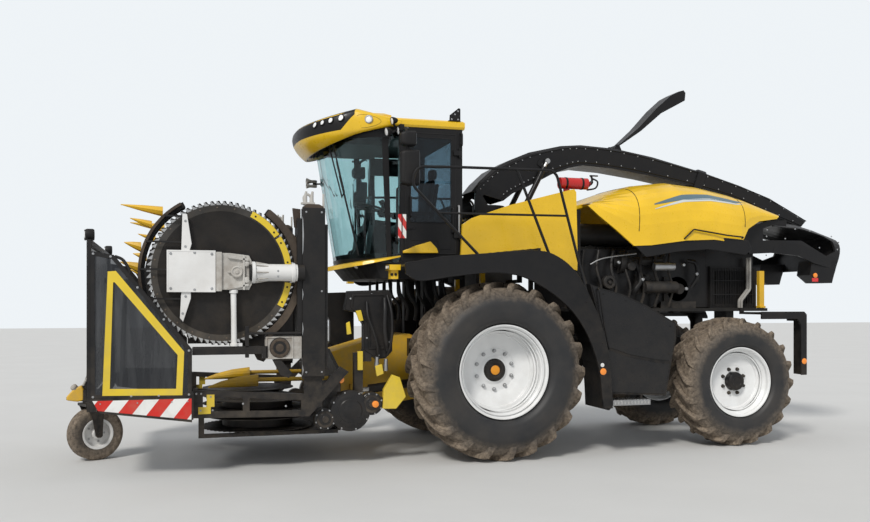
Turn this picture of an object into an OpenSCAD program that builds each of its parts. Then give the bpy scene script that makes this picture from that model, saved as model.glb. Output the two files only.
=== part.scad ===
// Self-propelled forage harvester with its folded maize header in road transport trim.
// X runs from the header (minus) to the tail (plus), Y from the left side to the right, Z up.
// Stations along X are given from the front axle and shifted at the end to the mid length.

/* [Chassis] */
// Distance between the front and the rear axle
wheelbase = 3350; // [3200:10:3500]
// Height of the side rails' underside above the ground
rail_z = 1190; // [1180:5:1220]
// Height of a side rail
rail_h = 220; // [180:5:240]
// Width of a side rail
rail_w = 100; // [80:5:110]
// Centre of a side rail from the middle
rail_y = 470; // [465:1:475]
// Half width of the rear centre beam
beam_half = 190; // [150:5:200]
// Height of the deck that carries engine and radiators
deck_z = 1740; // [1720:5:1780]
// Thickness of the deck
deck_t = 40; // [25:1:50]

/* [Front wheels] */
// Outer diameter of a front tyre
front_tyre_d = 2100; // [2040:10:2110]
// Width of a front tyre
front_tyre_w = 800; // [700:10:800]
// Bead seat diameter of a front rim
front_rim_d = 1067; // [965:1:1090]
// Distance between the front wheels' middles
front_track = 2440; // [2420:5:2450]

/* [Rear wheels] */
// Outer diameter of a rear tyre
rear_tyre_d = 1660; // [1600:10:1670]
// Width of a rear tyre
rear_tyre_w = 620; // [540:10:630]
// Bead seat diameter of a rear rim
rear_rim_d = 864; // [800:1:880]
// Distance between the rear wheels' middles
rear_track = 2040; // [2030:5:2060]
// Distance of a kingpin from the middle
kingpin_y = 620; // [600:5:625]

/* [Cab] */
// Outer half width of the cab
cab_half = 880; // [860:5:890]
// Height of the cab floor's underside
cab_floor_z = 2330; // [2325:5:2345]
// Height of the door opening above the floor
door_h = 1480; // [1450:5:1490]
// Thickness of the cab's glass
glass_t = 8; // [6:1:10]
// Side of the square cab pillars
pillar = 70; // [60:5:80]
// Thickness of the cab roof at its rim
roof_t = 90; // [70:5:110]

/* [Spout] */
// Station of the slewing ring's axis
turret_x = 350; // [340:5:360]
// Radius of the rotating collar
collar_r = 290; // [280:5:295]
// Wall of the spout duct
spout_t = 8; // [5:1:10]
// Half width of the spout at its root
spout_half = 250; // [230:5:255]

/* [Hood] */
// Thickness of the hood shell
hood_t = 30; // [20:1:35]
// Station of the hood hinge
hood_hinge_x = 1290; // [1285:1:1300]
// Height of the hood hinge
hood_hinge_z = 3100; // [3090:5:3105]

/* [Header] */
// Height of the feeder's pivot
feeder_pivot_z = 1350; // [1340:5:1360]
// Station of the folded rotors' axis
rotor_x = -3180; // [-3190:5:-3170]
// Height of the folded rotors' axis
wing_rotor_z = 2174; // [2165:1:2180]
// Radius over a rotor's knives
rotor_r = 780; // [760:5:785]
// Outer face of the folded rotors from the middle
wing_face_y = 1345; // [1340:1:1350]
// Station of the front guard
guard_x = -4530; // [-4540:5:-4520]
// Diameter of the transport wheel
caster_d = 620; // [600:10:640]

/* [Hidden] */
$fn = 64;

// Gap between a moving round piece and what holds it
run = 0.3;
// Gap between two pieces that are seated on each other
seat_gap = 0.3;
eps = 1;

yellow = [0.93, 0.72, 0.06];
black = [0.09, 0.09, 0.1];
dark = [0.16, 0.17, 0.18];
white = [0.88, 0.88, 0.86];
steel = [0.55, 0.56, 0.57];
rubber = [0.07, 0.07, 0.07];
brown = [0.3, 0.24, 0.2];
glass = [0.6, 0.75, 0.78, 0.4];

front_r = front_tyre_d / 2;
rear_r = rear_tyre_d / 2;
caster_r = caster_d / 2;
caster_x = -4570;
tail_end_x = 5500;
// The model's middle lies half way between the transport wheel and the tail
mid_x = (caster_x - caster_r + tail_end_x) / 2;

module place() translate([-mid_x, 0, 0]) children();

// Repeats its children on the right side
module both() {
    children();
    mirror([0, 1, 0]) children();
}

// Plate cut from an outline of X and Z points, from y0 to y1
module plate(y0, y1, outline)
    translate([0, y1, 0]) rotate([90, 0, 0]) linear_extrude(y1 - y0) polygon(outline);

// Box given by its lowest and highest corner
module block(lo, hi) translate(lo) cube(hi - lo);

// Round bar along Y
module bar_y(x, z, y0, y1, r)
    translate([x, y1, z]) rotate([90, 0, 0]) cylinder(r = r, h = y1 - y0);

// Round bar along X
module bar_x(y, z, x0, x1, r)
    translate([x0, y, z]) rotate([0, 90, 0]) cylinder(r = r, h = x1 - x0);

// Solid through a list of rings that all have the same number of points.
// A ring runs anticlockwise when it is seen from the last ring.
module skin(rings) {
    n = len(rings[0]);
    m = len(rings);
    points = [for (r = rings) each r];
    sides = [
        for (i = [0 : m - 2])
            for (j = [0 : n - 1])
                let (a = i * n + j, b = i * n + (j + 1) % n)
                    each [[a, b + n, b], [a, a + n, b + n]]
    ];
    caps = [[for (j = [0 : n - 1]) j], [for (j = [n - 1 : -1 : 0]) (m - 1) * n + j]];
    polyhedron(points, concat(sides, caps), convexity = 6);
}

// Sheet between outer and inner lines, bent like a gutter, or a duct when it is closed.
// An outer line runs anticlockwise when it is seen from the last one.
module sheet(outer, inner, closed = false) {
    n = len(outer[0]);
    last = (len(outer) - 1) * n;
    o = last + n;
    points = concat([for (r = outer) each r], [for (r = inner) each r]);
    steps = [for (j = [0 : closed ? n - 1 : n - 2]) [j, (j + 1) % n]];
    rims = closed ? [] : [[n - 1, o + n - 1], [o, 0]];
    pairs = concat(steps, [for (p = steps) [o + p[1], o + p[0]]], rims);
    walls = [
        for (i = [0 : n : last - n])
            for (p = pairs)
                each [[i + p[0], i + n + p[1], i + p[1]], [i + p[0], i + n + p[0], i + n + p[1]]]
    ];
    ends = [
        for (p = steps)
            each [
                [p[0], p[1], o + p[1]], [p[0], o + p[1], o + p[0]],
                [last + p[0], last + o + p[1], last + p[1]], [last + p[0], last + o + p[0], last + o + p[1]]
            ]
    ];
    polyhedron(points, concat(walls, ends), convexity = 8);
}

function unit(v) = v / norm(v);
function power(v, e) = sign(v) * pow(abs(v), e);

function reversed(l) = [for (i = [len(l) - 1 : -1 : 0]) l[i]];
// Path with its inner corners rounded by arcs of radius r, k points to a corner
function rounded_path(p, r, k = 4) = [
    for (i = [0 : len(p) - 1])
        each (i == 0 || i == len(p) - 1) ? [p[i]]
            : let (
                a = unit(p[i - 1] - p[i]), b = unit(p[i + 1] - p[i]),
                half = acos(a * b) / 2, cut = r / tan(half),
                mid = p[i] + unit(a + b) * r / sin(half)
            )
            [for (s = [0 : k])
                let (q = unit((p[i] + a * cut - mid) * (1 - s / k) + (p[i] + b * cut - mid) * s / k))
                    mid + q * r]
];
function tangent(p, i) = unit(p[min(i + 1, len(p) - 1)] - p[max(i - 1, 0)]);
function side_vector(t, n) = unit(n - t * (n * t));
function frames(p, i, n) = i == len(p) ? []
    : let (t = tangent(p, i), s = side_vector(t, n))
        concat([[p[i], s, cross(t, s)]], frames(p, i + 1, s));
// Tube of radius r along a path, made of rings with k sides
module tube(p, r, k = 8, start = [0.21, 0.32, 0.92])
    skin([
        for (f = frames(p, 0, side_vector(tangent(p, 0), start)))
            [for (j = [0 : k - 1]) f[0] + r * (f[1] * cos(360 * j / k) + f[2] * sin(360 * j / k))]
    ]);

// Wheels

// Columns: height above the bead from 0 to 1, half width from 0 to 1
tyre_side = [
    [0.000, 0.74], [0.035, 0.86], [0.12, 0.95], [0.28, 0.995], [0.45, 1.0],
    [0.62, 0.985], [0.76, 0.95], [0.87, 0.89], [0.94, 0.81], [0.98, 0.70], [1.0, 0.45]
];
module tyre(d, w, rim_d, lug_h = 0) {
    bead_r = rim_d / 2 + run;
    side = [for (s = tyre_side) tread_point(d, w, rim_d, s[0], s[1], lug_h)];
    inner = w * 0.37;
    rotate([90, 0, 0]) rotate_extrude($fn = 96)
        polygon(concat(
            [[bead_r, -inner], [bead_r, inner]],
            side,
            reversed([for (s = side) [s[0], -s[1]]])
        ));
}

// Columns: height above the bead, half width, both from 0 to 1, and half length round the tyre in degrees
lug_table = [[1.0, -0.05, 1.7], [0.965, 0.62, 2.1], [0.86, 0.90, 2.5], [0.6, 0.985, 1.6]];
// Angle that a lug sweeps from the middle of the tread to the shoulder
lug_sweep = 19;
// Point on the tyre's outline at height h and half width k, sunk by cut
function tread_point(d, w, rim_d, h, k, cut) =
    let (bead = rim_d / 2 + run + 22, depth = cut * min(1, max(0, (h - 0.5) / 0.3)))
        [bead + h * (d / 2 - bead) - depth, k * w / 2 - 0.35 * depth];
module lug(d, w, rim_d, lug_h)
    skin([
        for (i = [0 : len(lug_table) - 1])
            let (
                q = lug_table[i], last = i == len(lug_table) - 1,
                top = tread_point(d, w, rim_d, q[0], q[1], 0) - (last ? [2, 5] : [0, 0]),
                low = tread_point(d, w, rim_d, q[0], q[1], lug_h) - [10, q[1] > 0.7 ? 8 : 0],
                t = lug_sweep * pow(max(q[1], 0), 0.85), a = q[2], b = q[2] * 1.5
            )
            [for (e = [[low, t - b], [top, t - a], [top, t + a], [low, t + b]])
                [e[0][0] * cos(e[1]), e[0][0] * sin(e[1]), e[0][1]]]
    ]);
// Tyre with its lugs; the carcass lies a lug's height under the tread's outline
module lugged_tyre(d, w, rim_d, count, lug_h) {
    tyre(d, w, rim_d, lug_h);
    rotate([90, 0, 0])
        for (side = [0, 1], i = [0 : count - 1])
            mirror([0, 0, side]) rotate((i + side / 2) * 360 / count) lug(d, w, rim_d, lug_h);
}

// Rim with a disc that is set in by dish and a hub of radius hub_r; u is the outward direction
module rim(rim_d, w, dish, hub_r, hub_in, hub_out, bore_r, studs, stud_pcd) {
    seat = rim_d / 2;
    flange = seat + 17;
    half = w * 0.37 + 30;
    well = seat - 33;
    t = 12;
    disc_t = 22;
    rotate([90, 0, 0]) {
        rotate_extrude($fn = 96)
            polygon([
                [0, -60], [bore_r, -60], [bore_r, hub_in], [hub_r, hub_in], [hub_r, -dish],
                [stud_pcd / 2 + 50, -dish], [well - t, -dish - 60], [well - t, -half + 90],
                [seat - t, -half + 60], [seat - t, -half + 20], [flange - t, -half],
                [flange, -half], [flange, -half + 12], [seat, -half + 18],
                [seat, -half + 70], [well, -half + 100], [well, half - 100],
                [seat, half - 70], [seat, half - 18], [flange, half - 12], [flange, half],
                [flange - t, half], [seat - t, half - 20], [seat - t, half - 60],
                [well - t, half - 90], [well - t, -dish - 60 + disc_t * 2],
                [stud_pcd / 2 + 50, -dish + disc_t], [hub_r, -dish + disc_t],
                [hub_r * 0.9, hub_out - 25], [hub_r * 0.62, hub_out], [0, hub_out]
            ]);
        for (i = [0 : studs - 1])
            rotate(360 * (i + 0.5) / studs)
                translate([stud_pcd / 2, 0, -dish + disc_t - eps]) cylinder(r = 16, h = 30, $fn = 24);
    }
}

front_y = front_track / 2;
rear_y = rear_track / 2;
front_hub_in = -420;
rear_hub_in = -300;
axle_r = 125;
front_spindle_r = 90;
rear_spindle_r = 60;
front_lug_h = 52;
rear_lug_h = 42;

module front_wheel_seat(s) translate([0, s * front_y, front_r]) mirror([0, s > 0 ? 1 : 0, 0]) children();
module rear_wheel_seat(s)
    translate([wheelbase, s * rear_y, rear_r]) mirror([0, s > 0 ? 1 : 0, 0]) children();

module front_tyre(s) color(rubber) place() front_wheel_seat(s)
    lugged_tyre(front_tyre_d, front_tyre_w, front_rim_d, 21, front_lug_h);
module rear_tyre(s) color(rubber) place() rear_wheel_seat(s)
    lugged_tyre(rear_tyre_d, rear_tyre_w, rear_rim_d, 20, rear_lug_h);
module front_rim(s) color(white) place() front_wheel_seat(s)
    rim(front_rim_d, front_tyre_w, 60, 175, front_hub_in, -5, front_spindle_r + run, 10, 460);
module rear_rim(s) color(white) place() rear_wheel_seat(s)
    rim(rear_rim_d, rear_tyre_w, -60, 120, rear_hub_in, 170, rear_spindle_r + run, 8, 330);

// Front axle with its final drives and spindles
module front_axle() color(black) place() {
    bar_y(0, front_r, -front_y + 75, front_y - 75, front_spindle_r);
    both() {
        bar_y(0, front_r, -front_y + 460, -rail_y - rail_w / 2 - 20, 240);
        bar_y(0, front_r, -front_y - front_hub_in + 5, -front_y + 520, 170);
        for (a = [0 : 30 : 330])
            translate([215 * cos(a), 0, front_r + 215 * sin(a)])
                bar_y(0, 0, -front_y + 445, -front_y + 465, 14);
        block([-200, -rail_y - rail_w / 2 - 25, front_r - 120],
            [200, -rail_y + rail_w / 2 - 10, rail_z - seat_gap]);
    }
    bar_y(0, front_r, -560, 560, axle_r);
}

fork_gap = 330;
// Rear axle: a beam that hangs under the centre beam, with a fork and a kingpin at each end
module rear_axle() color(black) place() {
    block([wheelbase - 90, -530, rear_r - 80], [wheelbase + 90, 530, rear_r + 90]);
    bar_x(0, rear_r + 90, wheelbase - 200, wheelbase + 200, 90);
    bar_x(0, rear_r + 90, wheelbase - 290, wheelbase + 290, 60);
    both() {
        for (z = [rear_r - fork_gap / 2 - 50, rear_r + fork_gap / 2])
            block([wheelbase - 75, -kingpin_y, z], [wheelbase + 75, -510, z + 50]);
        for (z = [rear_r - fork_gap / 2 - 50, rear_r + fork_gap / 2])
            translate([wheelbase, -kingpin_y, z]) cylinder(r = 75, h = 50);
        block([wheelbase - 75, -535, rear_r - fork_gap / 2 - 40],
            [wheelbase + 75, -500, rear_r + fork_gap / 2 + 40]);
        translate([wheelbase, -kingpin_y, rear_r - fork_gap / 2 - 20])
            cylinder(r = 42, h = fork_gap + 40);
    }
}

arm_l = 260;
arm_z = rear_r - 130;
// Knuckle with its spindle and a steering arm that points to the tail
module knuckle(s) color(black) place()
    translate([wheelbase, s * kingpin_y, rear_r]) mirror([0, s > 0 ? 1 : 0, 0])
        difference() {
            union() {
                translate([0, 0, -fork_gap / 2 + seat_gap])
                    cylinder(r = 72, h = fork_gap - 2 * seat_gap);
                bar_y(0, 0, kingpin_y - rear_y + 75, 0, rear_spindle_r);
                bar_y(0, 0, kingpin_y - rear_y - rear_hub_in + 5, -40, 68);
                block([0, -35, arm_z - rear_r - 18], [arm_l, 35, arm_z - rear_r + 18]);
                translate([arm_l, 0, arm_z - rear_r - 18]) cylinder(r = 38, h = 36);
            }
            translate([0, 0, -fork_gap / 2]) cylinder(r = 42 + run, h = fork_gap);
        }

// Tie rod under the steering arms
module tie_rod() color(steel) place() {
    bar_y(wheelbase + arm_l, arm_z - 50, -kingpin_y, kingpin_y, 20);
    both() translate([wheelbase + arm_l, -kingpin_y, arm_z - 72]) cylinder(r = 34, h = 54 - seat_gap);
}

// Chassis

rail_front_x = -880;
rail_rear_x = 2150;
// the beam keeps clear of the axle that it carries
beam_z = rear_r + 250;
beam_h = 300;
beam_rear_x = 4340;
feeder_pivot_x = -750;
trunnion_r = 40;

module chassis_frame() color(dark) place() {
    both() {
        difference() {
            block([rail_front_x, -rail_y - rail_w / 2, rail_z],
                [rail_rear_x, -rail_y + rail_w / 2, rail_z + rail_h]);
            block([-600, -rail_y - rail_w, rail_z + 40], [1900, -rail_y - 12, rail_z + rail_h - 40]);
        }
        bar_y(feeder_pivot_x, feeder_pivot_z, -rail_y + rail_w / 2 - 5, -360, trunnion_r);
        // ears of the lift cylinders
        plate(-lift_y - 48, -lift_y - 28, [
            [-540, rail_z + 5], [-340, rail_z + 5], [lift_a[0] + 40, lift_a[1] - 50],
            [lift_a[0] - 30, lift_a[1] - 50]
        ]);
        bar_y(lift_a[0], lift_a[1], -lift_y - 40, -lift_y + 25, lift_pin_r);
        // posts that carry the deck
        block([2050, -360, rail_z + 10], [rail_rear_x, -260, deck_z]);
    }
    block([2000, -rail_y - rail_w / 2, rail_z - 60], [rail_rear_x, rail_y + rail_w / 2, rail_z + rail_h]);
}

// Beam over the rear axle with the ballast and the tow hitch, bolted behind the last cross member
module rear_beam() color(dark) place() {
    block([rail_rear_x + seat_gap, -beam_half, beam_z], [beam_rear_x, beam_half, beam_z + beam_h]);
    block([rail_rear_x + seat_gap, -beam_half - 90, beam_z - 20],
        [rail_rear_x + 30, beam_half + 90, beam_z + beam_h + 20]);
    for (x = [2700, 3900])
        block([x, -150, beam_z + beam_h - eps], [x + 120, 150, deck_z]);
    // bearings of the rear axle
    for (x = [wheelbase - 290, wheelbase + 205])
        difference() {
            block([x, -120, rear_r], [x + 85, 120, beam_z + eps]);
            bar_x(0, rear_r + 90, x - 5, x + 90, 60 + run);
        }
    // rear ballast with the tow hitch
    difference() {
        union() {
            block([beam_rear_x - eps, -430, 900], [beam_rear_x + 220, 430, beam_z + 100]);
            block([beam_rear_x + 215, -110, 900], [beam_rear_x + 240, 110, 1150]);
            for (z = [hitch_z - 70, hitch_z + 40])
                plate_z(z, z + 30, [
                    [beam_rear_x + 220, -90], [beam_rear_x + 330, -70], [beam_rear_x + 380, -45],
                    [beam_rear_x + 395, 0], [beam_rear_x + 380, 45], [beam_rear_x + 330, 70],
                    [beam_rear_x + 220, 90]
                ]);
        }
        translate([beam_rear_x + 340, 0, hitch_z - 100]) cylinder(r = hitch_r, h = 200);
        for (y = [-80, 80], z = [920, 1120])
            bar_x(y, z, beam_rear_x + 180, beam_rear_x + 260, hitch_hole_r);
    }
}
hitch_z = 1010;
hitch_r = 19;
hitch_hole_r = 9;
module plate_z(z0, z1, outline) translate([0, 0, z0]) linear_extrude(z1 - z0) polygon(outline);

// Deck, hood portal and rear posts
portal_y = 780;
post_top = 2290;
module body_frame() color(yellow) place() {
    plate_z(deck_z + seat_gap, deck_z + deck_t, [
        [1240, -800], [3640, -800], [3640, -deck_tail_half], [4150, -deck_tail_half],
        [4150, deck_tail_half], [3640, deck_tail_half], [3640, 800], [1240, 800]
    ]);
    both() {
        block([1250, -portal_y - 25, deck_z + deck_t - eps], [1310, -portal_y + 25, 3040]);
        block([4080, -665, deck_z + deck_t - eps], [4150, -605, post_top]);
        difference() {
            block([1260, -470, 3020], [1320, -440, hood_hinge_z + 32]);
            bar_y(hood_hinge_x, hood_hinge_z, -480, -430, 14 + run);
        }
    }
    block([1250, -portal_y, 2985], [1310, portal_y, 3040]);
}

// Open engine: crankcase with ribs, cylinder heads, exhaust, filters, belt drive and air ducts
engine_z = deck_z + deck_t + seat_gap;
engine_x = 1640;
cylinder_pitch = 140;
module engine() color(dark) place() translate([0, 0, engine_z]) {
    plate(-400, 400, [
        [engine_x, 0], [2480, 0], [2500, 60], [2500, 400], [2460, 440], [engine_x + 30, 440], [engine_x, 400]
    ]);
    plate(-330, 330, [
        [engine_x + 20, 435], [2470, 435], [2470, 720], [2440, 760], [engine_x + 50, 760], [engine_x + 20, 720]
    ]);
    for (i = [0 : 5]) let (x = engine_x + 30 + i * cylinder_pitch) {
        block([x, -270, 755], [x + 118, 270, 830]);
        // exhaust and inlet branches
        both() bar_y(x + 60, 650, -430, -325, 34);
        both() block([x + 45, -425, 60], [x + 75, -395, 400]);
    }
    both() bar_x(-430, 650, engine_x + 30, 2450, 52);
    // turbocharger on the left side
    bar_x(-560, 610, 1950, 2030, 150);
    bar_x(-560, 610, 2025, 2120, 95);
    bar_x(-560, 610, 1880, 1955, 75);
    block([1960, -560, 560], [2010, -425, 660]);
    // filters and their bracket
    block([1680, -620, 300], [1860, -395, 340]);
    for (x = [1720, 1820]) translate([x, -570, 120]) cylinder(r = 46, h = 230);
    block([2200, -620, 380], [2460, -395, 420]);
    for (x = [2250, 2400]) translate([x, -560, 190]) cylinder(r = 56, h = 260);
    // oil sump rails and starter
    both() block([engine_x + 40, -430, 10], [2470, -395, 50]);
    bar_x(-470, 160, 1880, 2180, 62);
    block([1900, -470, 110], [1960, -395, 210]);
    // belt drive at the tail end
    block([2495, -260, 40], [2520, 260, 620]);
    for (p = [[0, 150, 120], [-190, 380, 64], [190, 420, 84], [0, 560, 52]])
        bar_x(p[0], p[1], 2515, 2570, p[2]);
    // hydraulic pump and its drive in front of the coolers
    block([2495, -560, 0], [2600, 560, 60]);
    block([2590, -600, 0], [3120, 600, 90]);
    bar_y(2860, 260, -560, 560, 165);
    block([2700, -500, 85], [3020, 380, 200]);
    both() bar_y(2860, 260, -620, -555, 70);
    block([2640, -590, 85], [2700, -520, 420]);
    // air cleaner and its duct to the turbocharger
    bar_x(-180, 992, 1520, 2420, 150);
    bar_x(-180, 992, 1480, 1525, 165);
    bar_x(-180, 992, 2415, 2560, 90);
    for (x = [1700, 2300]) block([x, -230, 825], [x + 60, -130, 860]);
    tube([[2500, -180, 992], [2640, -300, 965], [2700, -480, 800], [2600, -560, 640], [2110, -560, 610]], 62, 12);
    // silencer on the right side
    bar_x(330, 960, 1700, 2400, 130);
    bar_x(330, 960, 2395, 2480, 55);
    for (x = [1800, 2250]) block([x, 230, 825], [x + 50, 300, 880]);
    // pipes along the left side
    tube(rounded_path([
        [1700, -320, 700], [1700, -480, 760], [2300, -480, 780], [2480, -400, 500], [2480, -350, 300]
    ], 60), 20);
    tube(rounded_path([[1660, -350, 200], [1600, -500, 260], [1600, -520, 620], [1760, -430, 650]], 60), 18);
}

// Radiator housing at the rear with louvres in front and behind and cleaning doors at its sides
cooler_x0 = 3340;
cooler_x1 = 4070;
cooler_top = 2350;
cooler_half = 600;
louvre_pitch = 55;
module cooling_box() color(black) place() {
    difference() {
        block([cooler_x0, -cooler_half, engine_z], [cooler_x1, cooler_half, cooler_top]);
        block([cooler_x0 - 20, -540, engine_z + 60], [3560, 540, cooler_top - 60]);
        block([3960, -540, engine_z + 60], [cooler_x1 + 20, 540, cooler_top - 60]);
        both() block([3400, -cooler_half - 10, engine_z + 60], [4010, -cooler_half + 30, cooler_top - 60]);
    }
    bar_x(0, (engine_z + cooler_top) / 2, 3550, 3600, 235);
    for (x = [cooler_x0 + 5, cooler_x1 - 20], z = [engine_z + 75 : louvre_pitch : cooler_top - 75])
        block([x, -545, z], [x + 14, 545, z + 16]);
    both() for (x = [3440 : 70 : 3990])
        block([x, -cooler_half + 8, engine_z + 55], [x + 14, -cooler_half + 35, cooler_top - 55]);
}

// Chopper drum housing with the duct that rises to the turret
chopper_half = 340;
duct_half = 240;
module chopper_housing() color(dark) place() {
    difference() {
        plate(-chopper_half, chopper_half, [
            [-600, 800], [-300, 640], [260, 640], [480, 820], [560, 1150], [620, 1500], [600, 1900],
            [100, 1900], [-60, 1640], [-420, 1560], [-560, 1400], [-600, 1200]
        ]);
        bar_y(0, front_r, -chopper_half - 10, chopper_half + 10, axle_r + seat_gap);
    }
    translate([0, 0, 1895]) linear_extrude(950)
        polygon([[100, -duct_half], [600, -duct_half], [600, duct_half], [100, duct_half]]);
    both() block([-200, -rail_y + rail_w / 2 + seat_gap, 1230], [200, -chopper_half + 5, 1330]);
}

// Fixed slewing ring with its motor
turret_z = 2845;
module spout_turret() color(dark) place() {
    translate([turret_x, 0, turret_z + seat_gap]) cylinder(r = 300, h = 30);
    translate([turret_x, 0, turret_z + 25]) cylinder(r = 235, h = 90);
    block([-60, -80, turret_z + seat_gap], [90, 80, turret_z + 30]);
    block([-60, -75, turret_z + 25], [50, 75, turret_z + 80]);
}

// Body panels

module side_tanks() {
    color(black) place() both() {
        plate(-1380, -1060, [
            [1165, 2080], [1310, 2032], [1594, 1960], [1922, 1825], [2341, 1600], [2345, 1400],
            [2290, 1180], [2200, 700], [1404, 741], [1352, 1302], [1290, 1640]
        ]);
        block([1500, -1065, 1210], [1700, -rail_y - rail_w / 2 - seat_gap, 1290]);
    }
    color(steel) place() both() {
        block([1410, -1500, 610], [1915, -1250, 670]);
        for (x = [1450, 1850]) block([x, -1380, 665], [x + 20, -1260, 741]);
    }
}

// Arched mudguard and platform over a front wheel
fender_outer = [
    [-1205, 2287], [-925, 2330], [-784, 2360], [-300, 2400], [312, 2445], [600, 2400], [885, 2182],
    [1133, 1743], [1250, 1400], [1304, 1155], [1330, 850], [1343, 591]
];
fender_inner = [
    [1251, 594], [1225, 726], [1180, 1080], [1054, 1433], [859, 1732], [577, 1973], [212, 2160],
    [-150, 2207], [-630, 2161], [-1031, 2109], [-1200, 2190]
];
fender_t = 25;
module front_fenders() color(black) place() both() {
    plate(-1605, -1575, concat(fender_outer, fender_inner));
    for (i = [0 : len(fender_outer) - 2])
        plate(-1580, -930, [
            fender_outer[i], fender_outer[i + 1],
            fender_outer[i + 1] - [0, fender_t] - (i > 5 ? [fender_t, 0] : [0, 0]),
            fender_outer[i] - [0, fender_t] - (i > 5 ? [fender_t, 0] : [0, 0])
        ]);
    for (p = [[-500, 2370], [400, 2420]])
        block([p[0], -935, 2100], [p[0] + 60, -905, p[1]]);
    for (x = [-500, 400])
        block([x, -910, 2100], [x + 60, -rail_y - rail_w / 2 - seat_gap, 2140]);
    for (x = [-500, 400])
        block([x, -560, rail_z + 60], [x + 60, -rail_y - rail_w / 2 - seat_gap, 2140]);
}

rear_fender_x = wheelbase + rear_r + 110;
rear_fender_z = rear_tyre_d + 40;
rear_fender_out = rear_y + rear_tyre_w / 2 - 30;
rear_fender_in = rear_y - 60;
// inner edge of the flap, inside which a steered tyre swings past
rear_flap_in = rear_y + 80;
deck_tail_half = 740;
module rear_fenders() color(black) place() both() {
    plate(-rear_fender_out, -rear_fender_in, [
        [wheelbase + 280, rear_fender_z], [rear_fender_x, rear_fender_z],
        [rear_fender_x, rear_fender_z - 90], [rear_fender_x + 33, rear_fender_z - 90],
        [rear_fender_x + 34, rear_fender_z - 60], [rear_fender_x - 10, rear_fender_z + 30],
        [wheelbase + 280, rear_fender_z + 30]
    ]);
    plate(-rear_fender_out, -rear_flap_in, [
        [rear_fender_x, rear_fender_z - 60], [rear_fender_x, rear_r + 75],
        [rear_fender_x + 30, rear_r + 75], [rear_fender_x + 33, rear_fender_z - 90],
        [rear_fender_x + 33, rear_fender_z - 60]
    ]);
    // outer rim of the plate
    plate(-rear_fender_out - 20, -rear_fender_out + eps, [
        [wheelbase + 280, rear_fender_z - 5], [rear_fender_x - 40, rear_fender_z - 25],
        [rear_fender_x - 25, rear_r + 75], [rear_fender_x + 30, rear_r + 75],
        [rear_fender_x + 34, rear_fender_z - 60], [rear_fender_x - 10, rear_fender_z + 30],
        [wheelbase + 280, rear_fender_z + 30]
    ]);
    block([wheelbase + 350, -rear_fender_in - 5, rear_fender_z],
        [wheelbase + 410, -deck_tail_half - 10, rear_fender_z + 30]);
    block([wheelbase + 350, -deck_tail_half - 25, min(rear_fender_z, deck_z)],
        [wheelbase + 410, -deck_tail_half - seat_gap, max(rear_fender_z + 30, deck_z + deck_t)]);
}

// Yellow side panel behind the cab
panel_y = 950;
module side_panels() color(yellow) place() both() {
    plate(-panel_y - 20, -panel_y + 20, [
        [-345, 2430], [-327, 2800], [-199, 2883], [294, 3056], [1100, 3270], [1150, 3277],
        [1175, 3240], [1194, 2467], [1189, 2258], [1098, 2282], [652, 2470], [500, 2460]
    ]);
    block([1150, -panel_y + 15, 2700], [1200, -portal_y - 10, 2760]);
    block([1195, -panel_y + 130, 2700], [1250 - seat_gap, -portal_y - 10, 2760]);
    block([50, -panel_y + 15, 2460], [110, -500, 2500]);
    block([50, -550, 1960], [110, -500, 2500]);
    block([50, -550, 1900 + seat_gap], [350, -300, 1965]);
}

// Rails round the platform; points are X, Y, Z
rail_tube_r = 17;
rail_side_y = -1545;
module handrails() color(black) place() both() {
    tube(rounded_path([
        [-330, rail_side_y, 2410.5], [-1110, rail_side_y, 3180], [-1060, rail_side_y, 3385],
        [-500, rail_side_y, 3400], [640, rail_side_y, 3410], [1051, rail_side_y, 1922.6]
    ], 120), rail_tube_r);
    tube([[150, rail_side_y, 3404], [560, rail_side_y, 2415.6]], rail_tube_r);
    tube([[-800, rail_side_y, 2870], [783, rail_side_y, 2880]], rail_tube_r * 0.8);
}

module extinguisher() color("red") place() {
    bar_x(-850, 3366, 1000, 1380, 72);
    bar_x(-850, 3366, 1375, 1423, 25);
    block([1060, -panel_y + 20 + seat_gap, 3150], [1130, -800, 3180]);
    block([1060, -870, 3175], [1130, -830, 3310]);
}

// Cab

a_pillar_x = -1080;
c_pillar_x = -330;
cab_front_low = -1690;
cab_front_top = -1960;
sill_z = cab_floor_z + 110;
roof_z = sill_z + door_h + 40;
// Floor of the foot well on which the windscreen stands
well_z = cab_floor_z + 5;

// Points of the windscreen's plan curve from left to right, at nose x
function bow(nose, half, n, back = a_pillar_x) = [
    for (i = [0 : n])
        let (a = 180 * i / n)
            [back - (back - nose) * pow(sin(a), 0.8), -half * power(cos(a), 0.75)]
];
function at_z(l, z) = [for (p = l) [p[0], p[1], z]];

// Upright sheet of thickness t along the bow; stations are height and nose
module bow_sheet(stations, half, t, n, back = a_pillar_x)
    sheet(
        [for (s = stations) at_z(reversed(bow(s[1], half, n, back)), s[0])],
        [for (s = stations) at_z(reversed(bow(s[1] + t, half - t, n, back)), s[0])]
    );

// Columns: height above the floor's underside and set back of the base's nose
base_table = [[-190, 160], [-40, 20], [110, 0]];
base_nose = cab_front_low - 30;
module cab_base() color(black) place() {
    difference() {
        skin([
            for (s = base_table)
                at_z(reversed(concat(bow(base_nose + s[1], cab_half, 16),
                    [[c_pillar_x + 40, cab_half], [c_pillar_x + 40, -cab_half]])), cab_floor_z + s[0])
        ]);
        block([base_nose - 50, -cab_half - 50, well_z], [a_pillar_x - 5, cab_half + 50, sill_z + 50]);
    }
    both() block([-700, -rail_y - 60, rail_z + rail_h + seat_gap], [-560, -rail_y + 60, cab_floor_z - 180]);
}

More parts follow.
